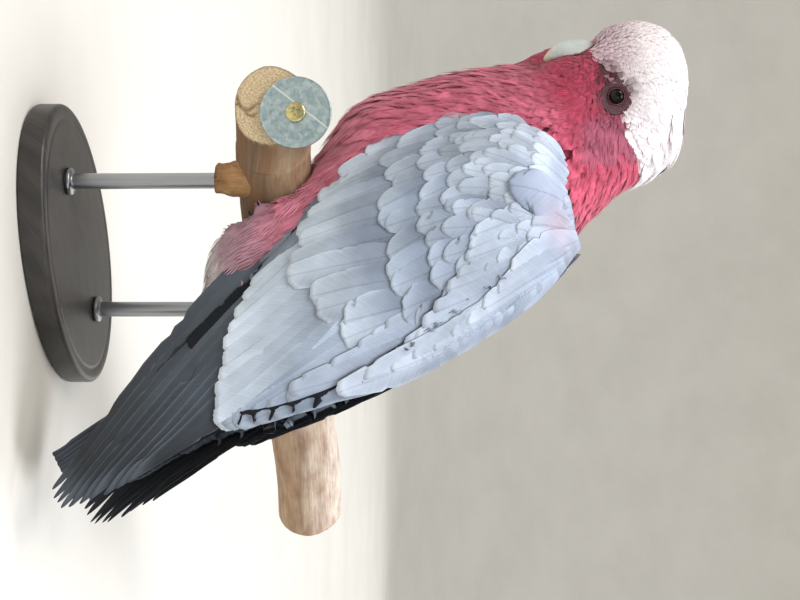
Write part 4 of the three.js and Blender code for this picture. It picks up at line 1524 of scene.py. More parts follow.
WING_ROWS = (
    Row("primary", 10, ((-4, 2), (12, 15), (26, 24)),
        ((125, -101), (130, -98.5), (132, -94), (130, -87), (126, -79), (121, -71)),
        (14, 14), -2.1, PRIMARY, "#4a535e", "#202429", rim="#636d79", bow_low=-1.5, bow=6.5, rise=3.2,
        rows=34,
        covered_web_shade=0.5, stack=0.1),
    Row("primary_covert", 6, ((-14, 26), (-2, 30)), ((12, -2), (40, -22)), (7, 9), -2.4, LONG_COVERT,
        "#8e99a8", "#6c7684", rows=18, covered_web_shade=0.25, stack=0.12),
    Row("secondary", 11, ((-12, 26), (10, 26), (30, 32), (42, 38)),
        ((38, -17), (54, -26), (70, -30), (85, -34), (97, -36)), (12, 15.5), -1.9, REMEX,
        "#8f9bab", "#b3bfcc", rim="#d0d9e2", bow_low=1.0, bow=3.0, rise=1.2, rows=30, covered_web_shade=0.5,
        stack=0.13),
    Row("tertial", 6, ((38, 44), (46, 50), (53, 58)), ((97, -36), (97, -31), (93, -20), (87, -8)),
        (13, 12), -0.7, REMEX, "#99a5b5", "#8996a8", rim="#b2bdca", bow_low=3.0, bow=3.5, rise=0.9, rows=26,
        covered_web_shade=0.4, stack=0.12),
    Row("greater_covert", 13, ((-24, 48), (-6, 44), (18, 42), (38, 44), (50, 50)),
        ((-14, 22), (3, 8), (20, -1), (37, -4), (52, 6), (64, 17)), (12, 15), -1.0, LONG_COVERT,
        "#7c8798", "#b3bfcd", rim="#c4ced9", rows=24, covered_web_shade=0.5, wander=2.2, stack=0.05),
    Row("median_covert", 14, ((-26, 62), (-8, 58), (12, 56), (30, 58), (46, 60)),
        ((-21, 39), (-3, 35), (14, 32), (31, 33), (46, 37), (58, 42)), (11, 14), -0.6, COVERT,
        "#7b8799", "#9ca8b8", rim="#aeb9c7", rows=18, covered_web_shade=0.35, wander=3.0, rise=0.35),
    Row("lesser_covert_low", 14, (
        (-28, 72), (-6, 68), (18, 68), (42, 72)
    ), ((-26, 53), (0, 47), (24, 47), (50, 53)),
        (9.5, 12), -0.3, COVERT, "#808c9e", "#9eaabb", rim="#b0bbc9", rows=14, covered_web_shade=0.3, wander=3.4,
        rise=0.35),
    Row("lesser_covert_middle", 15, (
        (-29, 80), (-8, 77), (16, 76), (36, 80)
    ), ((-28, 63), (-4, 58), (20, 57), (45, 62)),
        (8, 10.5), -0.1, COVERT, "#8692a4", "#a3afc0", rim="#b3becc", rows=14, covered_web_shade=0.3, wander=3.2,
        rise=0.35),
    Row("lesser_covert_high", 15, (
        (-28, 87), (-10, 86), (12, 85), (30, 88)
    ), ((-29, 71), (-8, 67), (14, 66), (39, 71)),
        (7.5, 9.5), 0.05, COVERT, "#909cae", "#adb9c8", rim="#bac4d2", rows=14, covered_web_shade=0.3, wander=3.0,
        rise=0.3),
    Row("marginal_covert", 14, (
        (-26, 94), (-8, 94), (10, 93), (27, 94)
    ), ((-29, 79), (-12, 76), (8, 75), (34, 79)),
        (7, 9), 0.2, COVERT, "#94a0b1", "#b0bbcb", rim="#bdc7d5", rows=14, covered_web_shade=0.25, wander=2.8,
        rise=0.3),
    Row("upper_covert", 12, (
        (-22, 101), (-6, 102), (10, 101), (24, 101)
    ), ((-28, 87), (-12, 84), (8, 83), (30, 87)),
        (7, 8.5), 0.32, COVERT, "#98a4b5", "#b3bece", rim="#c0cad8", rows=14, covered_web_shade=0.2, wander=2.2,
        rise=0.3),
    Row("shoulder_covert", 10, ((-14, 108), (2, 109), (18, 109)), ((-25, 94), (-10, 92), (8, 91), (26, 95)),
        (7.5, 9), 0.42, COVERT, "#9da8ba", "#b6c1d1", rows=14, covered_web_shade=0.15, wander=1.4, rise=0.3),
    Row("scapular_low", 8, (
        (30, 84), (38, 76), (46, 66), (52, 62)
    ), ((58, 32), (68, 21), (76, 7), (83, -7)),
        (11, 12), -0.4, LANCET, "#909cae", "#a2aebf", rim="#b7c2d1", bow_low=1.5, bow=2.5, rows=24,
        covered_web_shade=0.4,
        stack=0.09),
    Row("scapular", 13, ((2, 110), (12, 112), (23, 103), (32, 92), (41, 79)),
        ((22, 70), (36, 62), (54, 48), (66, 36), (76, 22)), (10, 12.5), 0.45, LANCET,
        "#9aa6b8", "#adb9c9", rim="#c2ccd9", bow_low=0.5, bow=1.5, rows=22, covered_web_shade=0.4, stack=0.06),
    Row("back_edge", 10, ((12, 114), (24, 104), (36, 90), (46, 76)), (
        (31, 84), (45, 71), (57, 55), (68, 36), (80, 12)
    ),
        (12, 13), 1.25, LANCET, "#a0acbe", "#b3becd", rim="#c7d0dc", bow_low=0.5, bow=1.5, rows=22,
        covered_web_shade=0.35,
        stack=0.05),
    Row("round_covert", 1, ((3, 105.5), (3, 105.5)), ((3.5, 83), (3.5, 83)), (18, 18), 0.9, COVERT,
        "#98a2b6", "#8792a7", rim="#5c677c", rows=18, tilt=0.0, wander=0.0, crown=1.1),
)


@dataclass
class FeatherSheet:
    """Gathers large feathers as thin closed webs, with their colours and maps."""

    columns: int = 13
    thick: float = 0.2
    points: list[np.ndarray] = field(default_factory=list)
    faces: list[np.ndarray] = field(default_factory=list)
    colours: list[np.ndarray] = field(default_factory=list)
    webs: list[np.ndarray] = field(default_factory=list)
    cells: list[np.ndarray] = field(default_factory=list)

    def add(
        self, top: np.ndarray, out: np.ndarray, colour: np.ndarray, under: np.ndarray, web: np.ndarray
    ) -> None:
        """Adds one feather.

        Args:
            top: the grid of points of its upper face, rows along its length.
            out: the direction that the upper face looks in, at each point.
            colour: the upper face's colour at each point.
            under: the lower face's colour at each point.
            web: each point's place across and along the web, in mm.
        """
        rows, columns, _ = top.shape
        inside = np.zeros((rows, columns, 1))
        inside[1:-1, 1:-1] = 1
        low = top - out * self.thick * (0.25 + 0.75 * inside)
        grid = grid_faces(rows, columns)
        count = rows * columns
        number = np.arange(count).reshape(rows, columns)
        rim = np.concatenate([number[0], number[1:, -1], number[-1, -2::-1], number[-2:0:-1, 0]])
        after = np.roll(rim, -1)
        wall = np.stack([rim, rim + count, after + count, after], -1)
        share = np.stack(
            np.meshgrid(np.linspace(0, 1, rows), np.linspace(0, 1, columns), indexing="ij"), -1
        )
        start = sum(map(len, self.points))
        self.points.append(np.concatenate([top.reshape(-1, 3), low.reshape(-1, 3)]))
        self.faces.append(np.concatenate([grid, grid[:, ::-1] + count, wall]) + start)
        self.colours.append(np.concatenate([colour.reshape(-1, 3), under.reshape(-1, 3)]))
        self.webs.append(np.concatenate([web.reshape(-1, 2)] * 2))
        halves = [share * [0.9, 0.43] + [0.05, base] for base in (0.03, 0.53)]
        self.cells.append(np.concatenate([half.reshape(-1, 2) for half in halves]))

    def made(self, name: str, flip: bool) -> bpy.types.Object:
        """All the gathered feathers as one piece.

        Args:
            name: the piece's name.
            flip: whether the faces are turned round, as for a mirrored sheet.

        Returns:
            The object.
        """
        faces = np.concatenate(self.faces)
        made = made_object(name, np.concatenate(self.points), faces[:, ::-1] if flip else faces)
        store(made.data, "plumage", "FLOAT_COLOR", np.clip(np.concatenate(self.colours), 0, 1))
        across = math.ceil(math.sqrt(len(self.cells)))
        packed = [(cell[:, ::-1] + [k % across, k // across]) / across for k, cell in enumerate(self.cells)]
        set_map(made.data, "OFBake", np.concatenate(packed))
        set_map(made.data, "web", np.concatenate(self.webs))
        return made


def feather_grid(
    length: float, width: float, outline: Outline, rows: int, columns: int, rng: np.random.Generator,
    splits: int
) -> tuple[np.ndarray, np.ndarray, np.ndarray, np.ndarray]:
    """Places across and along one large feather.

    Args:
        length: its length, in mm.
        width: its greatest width, in mm.
        outline: its outline.
        rows: rows of points along it.
        columns: points across it.
        rng: the source of its splits.
        splits: how many splits its edges have.

    Returns:
        Across and along, in mm, and the shares u from -1 to 1 and v from 0 to 1, each a grid.
    """
    u = np.sin(np.linspace(-1, 1, columns) * math.pi / 2)
    v = np.linspace(0, 1, rows) ** 0.85
    v, u = np.meshgrid(v, u, indexing="ij")
    half = outline.half_width(v) * width / 2
    along = v * length
    blunt = min(outline.roundness * width, 0.3 * length)
    along = along - blunt * np.abs(u) ** 2.2 * step(v, 0.35, 1.0)
    across = u * half
    along = along + 0.02 * width * rng.standard_normal(columns)[None] * step(v, 0.55, 1.0)
    for _ in range(splits):
        at, side, deep = rng.uniform(0.35, 0.97), rng.choice((-1, 1)), rng.uniform(0.12, 0.34)
        near = np.exp(-(((v - at) / 0.016) ** 2)) * np.clip((u * side - 0.3) / 0.7, 0, 1)
        across = across - np.sign(u) * half * near * deep
    return across, along, u, v


@dataclass
class Relief:
    """The outer face of a folded wing, as depths over a plain of X and Z that every feather of the wing
    lies on."""

    tree: BVHTree
    side: int
    corner: tuple[float, float] = (-52.0, -120.0)
    cell: float = 1.0
    size: tuple[int, int] = (205, 255)
    least: float = 0.5
    margin: int = 26
    steepest: float = 1.1
    depth: np.ndarray = field(init=False)
    slope: np.ndarray = field(init=False)

    def __post_init__(self) -> None:
        """Measures the face, carries it on beyond its outline and smooths it."""
        x, z = np.meshgrid(
            *(
                low + self.cell * np.arange(count) for low, count in zip(self.corner, self.size)
            ), indexing="ij"
        )
        outward = self._measured(x, z)
        fall = (0.35 + 1.15 * step(z, 5, 45)) * step(x, -10, 10) + 0.4 * step(x, 10, -10)
        for _ in range(self.margin):
            known = ~np.isnan(outward)
            total = self._beside(np.where(known, outward, 0))
            near = self._beside(known.astype(float))
            reached = ~known & (near > 0)
            outward[reached] = (total / np.maximum(near, 1) - fall)[reached]
        outward = np.where(np.isnan(outward), np.nanmin(outward), outward)
        outward = np.maximum(outward, self.least)
        for _ in range(4):
            for axis, count in enumerate(self.size):
                held = np.pad(outward, [(2, 2) if axis == k else (0, 0) for k in range(2)], mode="edge")
                shifted = (np.take(held, np.arange(k, k + count), axis) for k in range(5))
                outward = sum(
                    weight * moved for weight, moved in zip((0.0625, 0.25, 0.375, 0.25, 0.0625), shifted)
                )
        self.depth = outward
        self.slope = np.stack(np.gradient(outward, self.cell), -1)

    def _measured(self, x: np.ndarray, z: np.ndarray) -> np.ndarray:
        """How far out the face stands at X and Z places, in mm, and no number beyond its outline."""
        starts = to_frame(np.stack([x, np.full(x.shape, self.side * 90.0), z], -1)).reshape(-1, 3)
        hits = [
            self.tree.ray_cast(start, Vector((0, -self.side, 0)), 0.085)[0] for start in starts.tolist()
        ]
        found = np.array([math.nan if hit is None else hit[1] for hit in hits])
        return (found / MM - BIRD_ORIGIN[1]).reshape(x.shape) * self.side

    @staticmethod
    def _beside(values: np.ndarray) -> np.ndarray:
        """The sum of each cell's four neighbours."""
        held = np.pad(values, 1)
        return held[:-2, 1:-1] + held[2:, 1:-1] + held[1:-1, :-2] + held[1:-1, 2:]

    def _at(self, values: np.ndarray, flat: np.ndarray) -> np.ndarray:
        """Values of the plain at X and Z places, between its cells."""
        place = np.clip((flat - self.corner) / self.cell, 0, np.array(self.size) - 1.001)
        low = place.astype(int)
        i, j = low[..., 0], low[..., 1]
        a, b = np.moveaxis(place - low, -1, 0)
        if values.ndim == 3:
            a, b = a[..., None], b[..., None]
        lower = values[i, j] * (1 - a) + values[i + 1, j] * a
        upper = values[i, j + 1] * (1 - a) + values[i + 1, j + 1] * a
        return lower * (1 - b) + upper * b

    def drop(self, flat: np.ndarray, lift: np.ndarray) -> tuple[np.ndarray, np.ndarray]:
        """Drops a grid of X and Z places on to the face.

        Args:
            flat: the grid of X and Z places.
            lift: how far each point stands off the face, in mm.

        Returns:
            The points and their outward directions.
        """
        slope = np.clip(self._at(self.slope, flat), -self.steepest, self.steepest)
        out = unit(np.stack([-slope[..., 0], np.ones(slope.shape[:-1]), -slope[..., 1]], -1))
        top = np.stack([flat[..., 0], self._at(self.depth, flat), flat[..., 1]], -1) + out * lift[..., None]
        mirror = np.array([1, self.side, 1])
        return top * mirror, out * mirror


@dataclass
class Wing:
    """One folded wing: coverts in rows over the secondaries, the primaries that reach past them, and the
    flesh."""

    name: str
    side: int
    seed: int
    splits: int = 3
    sink: float = 3.2
    free_tips: float = 24.0
    pale: str = "#8d98a7"
    slate: str = "#434b55"
    along: tuple[float, float, float] = (0.77, 0.0, -0.64)
    back: tuple[float, float, float] = (0.64, 0.0, 0.77)

    def build(self) -> list[bpy.types.Object]:
        """Lays every row over the wing's form and joins them as one piece over the flesh."""
        nodes = wing_nodes(self.name)
        form = rounded_form(nodes, 1.6, 12)
        relief = Relief(tree_of(form), self.side, least=-2.5 if self.side < 0 else 0.5)
        rng = np.random.default_rng(self.seed)
        sheet = FeatherSheet()
        for row in WING_ROWS:
            self._lay(row, relief, sheet, rng)
        made = sheet.made(f"wing_{self.name}_feathers", flip=self.side > 0)
        hand_in(made, FLIGHT_FEATHER.material(), nodes)
        return [made, self._flesh(form)]

    def _flesh(self, form: bpy.types.Object) -> bpy.types.Object:
        """The closed inner body of the wing, sunk under its feathers and drawn back from their tips."""
        form.name = f"wing_{self.name}_lining"
        mesh = form.data
        at, out = to_bird(places(mesh)), normals(mesh)
        outer = step(out[:, 1] * self.side, -0.2, 0.4)
        sink = self.sink * (0.35 + 0.65 * outer) * step(at[:, 2] - at[:, 0] * 0.9, -205, -150)
        along, across = at @ np.array(self.along), at @ np.array(self.back)
        drawn = np.array(self.along) * (self.free_tips * step(along, 60, along.max()))[:, None]
        move(mesh, to_frame(at - out * sink[:, None] - drawn))
        lit = step(np.maximum(outer, out @ np.array(self.back)), 0.1, 0.5)
        dark = np.maximum(step(along, 88, 106), step(across, 38, 28) * step(along, 10, 30))
        store(mesh, "plumage", "FLOAT_COLOR", mix(under_wing(at), mix(self.pale, self.slate, dark), lit))
        down = (at[:, 0] - at[:, 2]) * 0.707
        web = np.stack([2.0 + np.mod(down, 0.01) + np.abs(at[:, 0] + at[:, 2]) * 0.707, down], -1)
        unwrap(form)
        set_map(mesh, "web", web)
        hand_in(form, FLIGHT_FEATHER.material())
        return form

    def _lay(self, row: Row, relief: Relief, sheet: FeatherSheet, rng: np.random.Generator) -> None:
        """Lays one row of feathers.

        Args:
            row: the row.
            relief: the wing's outer face.
            sheet: where the feathers are gathered.
            rng: the source of their small differences.
        """
        share = np.linspace(0, 1, row.count) if row.count > 1 else np.array([0.5])
        roots, tips = curve_at(np.array(row.roots), share), curve_at(np.array(row.tips), share)
        for k, (root, tip) in enumerate(zip(roots, tips)):
            tip = tip + rng.standard_normal(2) * row.wander * 0.7
            root = root + rng.standard_normal(2) * row.wander * 0.4
            way = tip - root
            length = float(np.linalg.norm(way))
            way = way / length
            aside = np.array([-way[1], way[0]])
            width = row.widths[0] + (row.widths[1] - row.widths[0]) * share[k]
            across, along, u, v = feather_grid(
                length, width, row.outline, row.rows, sheet.columns, rng, self.splits
            )
            bow = (row.bow_low + (row.bow - row.bow_low) * share[k]) * 4 * v * (1 - v)
            flat = root + along[..., None] * way + (across + bow)[..., None] * aside
            lift = row.level + row.rise * (v - 0.7) - row.tilt * u * step(
                v, 0.0, 0.3
            ) + row.crown * (1 - u * u)
            lift = lift + 0.03 * rng.standard_normal() + row.stack * k
            top, out = relief.drop(flat, lift)
            colour = self._colour(row, u, v, along, rng)
            spots = top.reshape(-1, 3)
            drift = 1 + (
                0.16 * ripple(spots, 15.0, self.seed) + 0.10 * ripple(spots, 5.0, 2.0)
            ).reshape(u.shape)
            blush = np.exp(-((top[..., 0] - 12) ** 2 + (top[..., 2] - 105) ** 2) / 40) * 0.3
            colour = mix(colour * drift[..., None], "#d9a5b3", blush)
            sheet.add(top, out, colour, under_wing(spots), np.stack([across, along], -1))

    def _colour(
        self, row: Row, u: np.ndarray, v: np.ndarray, along: np.ndarray, rng: np.random.Generator
    ) -> np.ndarray:
        """The colour of one feather's upper face: paler at the rim, darkened with painted shade on the web
        that its neighbour covers."""
        tone = 1 + 0.09 * rng.standard_normal()
        # Painted shade on the web that the neighbouring feather lies over.
        inner = step(u, -0.1, 0.6) * row.covered_web_shade
        colour = mix(row.base, row.tip, step(v, 0.25, 0.95)) * (1 - 0.55 * inner[..., None])
        if row.rim:
            rim = np.maximum(step(np.abs(u), 0.8, 0.97) * step(v, 0.3, 0.6), step(v, 0.9, 0.99))
            colour = mix(colour, row.rim, rim * 0.5)
        cloud = 1 + 0.07 * np.sin(along / rng.uniform(5, 9) + rng.uniform(0, 6)) * (1 - np.abs(u))
        return colour * (tone * cloud)[..., None]


@dataclass
class Tail:
    """Twelve square-ended tail feathers in a closed fan, the middle pair on top."""

    root: tuple[float, float, float] = (43.0, 0.0, -8.0)
    tip: tuple[float, float, float] = (114.5, 0.0, -104.0)
    count: int = 12
    width: float = 14.0
    root_reach: float = 5.0
    tip_half_width: float = 18.0
    arch: float = 4.5
    rows: int = 34

    def build(self) -> bpy.types.Object:
        """Makes the feathers as one piece."""
        rng = np.random.default_rng(31)
        sheet = FeatherSheet(columns=11)
        root, tip = np.array(self.root), np.array(self.tip)
        length = float(np.linalg.norm(tip - root))
        along_dir = (tip - root) / length
        lift_dir = np.array([-along_dir[2], 0, along_dir[0]])
        reach = self.tip_half_width - self.width / 2
        for k in range(self.count):
            place = (k - (self.count - 1) / 2) / ((self.count - 1) / 2)
            across, along, u, v = feather_grid(
                length - 2.5 * abs(place), self.width, RECTRIX, self.rows, sheet.columns, rng, 3
            )
            aside = across + place * (self.root_reach + (reach - self.root_reach) * v)
            drop = self.arch * (aside / self.tip_half_width) ** 2
            slope = np.sign(place) * u
            height = 1.4 - 2.4 * abs(place) - drop - 0.35 * slope * step(v, 0, 0.2) + 0.25 * (1 - u * u)
            top = root + along[..., None] * along_dir + height[..., None] * lift_dir
            top[..., 1] += aside
            out = unit(lift_dir + np.stack(
                [0 * aside, 2 * self.arch * aside / self.tip_half_width**2, 0 * aside], -1
            ))
            colour = mix("#666d79", "#2f333a", step(v, 0.1, 0.7)) * (1 + 0.06 * rng.standard_normal())
            colour = mix(colour, "#5a606b", step(np.abs(u), 0.82, 0.98) * 0.4)
            under = np.broadcast_to(linear("#24262b"), colour.shape)
            sheet.add(top, out, colour, under, np.stack([across, along], -1))
        made = sheet.made("tail_feathers", flip=False)
        hand_in(made, FLIGHT_FEATHER.material(), ("tail",))
        return made


# ---- Bill, eyes and feet ----
@dataclass(frozen=True)
class Station:
    """A section of a limb: its middle, its half width across and its half depth in the plane of its
    bend."""

    at: tuple[float, float, float]
    half_width: float
    half_depth: float


def limb(
    stations: tuple[Station, ...], across: np.ndarray, sides: int, steps: int
) -> tuple[np.ndarray, np.ndarray, np.ndarray, np.ndarray]:
    """A round limb along a smooth curve, its ends drawn in to points.

    Args:
        stations: its sections.
        across: the direction of its width.
        sides: points round it.
        steps: rings along it.

    Returns:
        The points, the faces, and for each point the share along and the angle round.
    """
    middles = np.array([s.at for s in stations], float)
    sizes = np.array([(s.half_width, s.half_depth) for s in stations], float)
    t = np.linspace(0, 1, steps)
    centre = curve_at(middles, t)
    size = np.stack(
        [np.interp(t * (len(stations) - 1), range(len(stations)), sizes[:, k]) for k in range(2)], 1
    )
    close = 1.5 / steps
    shut = np.sqrt(np.clip(1 - (np.maximum(0, np.abs(t - 0.5) - (0.5 - close)) / close) ** 2, 0, 1))
    size = size * np.maximum(shut, 0.02)[:, None]
    tangent = unit(np.gradient(centre, axis=0))
    depth = unit(np.cross(tangent, across))
    width = unit(np.cross(depth, tangent))
    angle = around(sides)
    ring = (
        width[:, None] * (np.cos(angle)[None, :, None] * size[:, None, :1])
        + depth[:, None] * (np.sin(angle)[None, :, None] * size[:, None, 1:])
    )
    points = (centre[:, None] + ring).reshape(-1, 3)
    faces = grid_faces(steps, sides, closed=True)
    along, round_ = np.meshgrid(t, angle, indexing="ij")
    return points, faces, along.ravel(), round_.ravel()


def capped(faces: np.ndarray, rings: int, sides: int) -> list[list[int]]:
    """The faces of a limb with a flat cap at each end."""
    last = (rings - 1) * sides
    return [*faces.tolist(), list(range(sides))[::-1], [last + k for k in range(sides)]]


def middles(points: np.ndarray, rings: int, sides: int) -> np.ndarray:
    """The middle of each point's own ring."""
    return points.reshape(rings, sides, 3).mean(1).repeat(sides, 0)


def turned(profile: list[tuple[float, float]], sides: int) -> tuple[np.ndarray, list]:
    """The points and faces of a turned form, from a profile of radius and height."""
    angle = around(sides)
    rings = [np.stack([r * np.cos(angle), r * np.sin(angle), np.full(sides, z)], -1) for r, z in profile]
    return np.concatenate(rings), capped(grid_faces(len(rings), sides, closed=True), len(rings), sides)


@dataclass
class Bill:
    """The short hooked bill: an upper mandible with a ridge down its front, closed over the lower one."""

    upper: tuple[Station, ...] = (
        Station((-66, 0, 119), 8, 8), Station((-74, 0, 117), 8, 8), Station((-75.9, 0, 110.6), 6.6, 6.2),
        Station(
            (-75.4, 0, 105.6), 4.7, 4.3
        ), Station((-74.2, 0, 101.8), 2.3, 2.0), Station((-73.4, 0, 100.0), 0.8, 0.7),
    )
    lower: tuple[Station, ...] = (
        Station((-60, 0, 108), 6, 5.5), Station((-67, 0, 102.5), 5.6, 5), Station(
            (-72.0, 0, 100.6), 3.9, 2.4
        ),
    )
    sides: int = 48

    def build(self) -> list[bpy.types.Object]:
        """Makes both mandibles."""
        return [
            self._mandible("bill_upper", self.upper, 64, 0.22),
            self._mandible("bill_lower", self.lower, 36, 0.0)
        ]

    def _mandible(
        self, name: str, stations: tuple[Station, ...], rings: int, pinch: float
    ) -> bpy.types.Object:
        """One mandible, pinched to a ridge down its front, with growth lines round it."""
        points, faces, along, round_ = limb(stations, np.array([0.0, 1.0, 0.0]), self.sides, rings)
        middle = middles(points, rings, self.sides)
        front = np.clip(-np.sin(round_), 0, 1)
        points[:, 1] = middle[:, 1] + (points[:, 1] - middle[:, 1]) * (1 - pinch * front**2)
        growth = 0.05 * np.sin(along * 70 + 0.6 * np.cos(round_)) + 0.10 * ripple(points, 2.6)
        points = points + unit(points - middle) * growth[:, None]
        made = made_object(name + "_horn", head_to_bird(points), capped(faces, rings, self.sides))
        store(made.data, "tone", "FLOAT_COLOR", mix("#dfe6ea", "#d3c6a8", step(points[:, 2], 106, 98)))
        hand_in(made, BILL_HORN.material(), (name,))
        return made


@dataclass
class Eye:
    """One eye in its socket, and the ring of bare skin with its lids round it."""

    name: str
    side: int
    centre: tuple[float, float, float] = EYE_MIDDLE
    bead_mm: float = 0.85
    radius: float = 5.2
    opening: float = 3.25
    ring_half_length: float = 8.0
    ring_half_height: float = 7.2
    dish_radius: float = 10.3
    dish_y: float = 28.2
    fold_mm: float = 0.78
    rings: int = 54
    spokes: int = 200

    def build(self) -> list[bpy.types.Object]:
        """Makes the eyeball and the ring."""
        return [self._ball(), self._ring()]

    def _ball(self) -> bpy.types.Object:
        """The eyeball, with the cornea standing a little proud."""
        rings, spokes = 28, 56
        t, a = np.meshgrid(np.linspace(0.02, math.pi * 0.62, rings), around(spokes), indexing="ij")
        flat = self.radius * np.sin(t)
        proud = 0.35 * np.exp(-((flat / 2.6) ** 2)) * (t < math.pi / 2)
        points = np.stack(
            [flat * np.cos(a), self.radius * np.cos(t) + proud, flat * np.sin(a)], -1
        ).reshape(-1, 3)
        gaze = points[:, [0, 2]]
        points = (points + [0, self.centre[1], 0]) * [1, self.side, 1] + [self.centre[0], 0, self.centre[2]]
        faces = capped(grid_faces(rings, spokes, closed=True), rings, spokes)
        made = made_object(f"eye_{self.name}_ball", head_to_bird(points), faces)
        face_out(made)
        set_map(made.data, "gaze", gaze)
        hand_in(made, EYE_WET.material(), (f"eye_{self.name}",))
        return made

    def _ring(self) -> bpy.types.Object:
        """The bare ring: a thin pale lid edge, then beaded wrinkles that run round it, with painted shade
        between the beads, towards its outer edge and on its lower half.
        """
        s, a = np.meshgrid(np.linspace(0, 1, self.rings), around(self.spokes), indexing="ij")
        outer = 1 / np.hypot(np.cos(a) / self.ring_half_length, np.sin(a) / self.ring_half_height)
        away = self.opening + (outer - self.opening) * s
        dish = self.dish_y - np.sqrt(self.dish_radius**2 - np.minimum(away, 9.5) ** 2)
        ball = self.centre[1] + np.sqrt(np.maximum(self.radius**2 - away**2, 0))
        lid = step(away, self.opening + 1.9, self.opening + 0.4)
        base = np.maximum(dish - 0.25, 0) * (1 - lid) + (ball + 0.12) * lid
        rim = 0.34 * np.exp(-(((away - self.opening - 0.32) / 0.30) ** 2))
        first = self.opening + 0.75
        fold = (away - first) / self.fold_mm
        row = np.floor(fold)
        beads_round = np.round(2 * math.pi * (first + (row + 0.5) * self.fold_mm) / self.bead_mm)
        bead = np.cos(a * beads_round + row * 1.9)
        round_fold = np.sin(np.clip(fold - row, 0, 1) * math.pi)
        relief = round_fold * (0.5 + 0.5 * bead) * step(fold, 0.0, 0.3)
        tuck = -1.1 * step(s, 0.84, 1.0) - 0.55 * step(s, 0.06, 0.0)
        y = (base + rim + 0.5 * relief + tuck) * self.side
        points = np.stack([self.centre[0] + away * np.cos(a), y, self.centre[2] + away * np.sin(a)], -1)
        faces = grid_faces(self.rings, self.spokes, closed=True)
        made = made_object(f"eye_ring_{self.name}", head_to_bird(points.reshape(-1, 3)), faces)
        # Painted shade and highlight: dark in the grooves between the beads and light on their tops.
        tone = 0.30 + 0.85 * relief + 0.65 * step(rim, 0.12, 0.3)
        # Painted shade towards the outer edge, under the feathers, and on the lower half of the ring.
        tone = tone * (1 - 0.4 * step(s, 0.55, 0.95)) * (1 - 0.3 * step(np.sin(a), 0.2, -0.8))
        store(made.data, "tone", "FLOAT_COLOR", np.repeat(tone.reshape(-1, 1), 3, 1))
        face_out(made, Vector(to_frame(head_to_bird(np.array(self.centre) * [1, 0, 1]))))
        hand_in(made, BARE_SKIN.material())
        return made


def face_out(made: bpy.types.Object, centre: Vector | None = None) -> None:
    """Turns a piece's faces outwards: away from a point where one is given, or by its own closed form."""
    shell = bmesh.new()
    shell.from_mesh(made.data)
    if centre is None:
        bmesh.ops.recalc_face_normals(shell, faces=shell.faces)
    elif sum((f.calc_center_median() - centre).dot(f.normal) for f in shell.faces) < 0:
        bmesh.ops.reverse_faces(shell, faces=shell.faces)
    shell.to_mesh(made.data)
    shell.free()


@dataclass(frozen=True)
class Toe:
    """One toe: which way it points round the branch, how it fans along it, and how far it wraps, in
    degrees."""

    name: str
    forward: int
    fan: float
    wrap: float


TOES = (Toe("toe_2", 1, 5, 96), Toe("toe_3", 1, -6, 112), Toe("toe_1", -1, 5, 74), Toe("toe_4", -1, -6, 92))


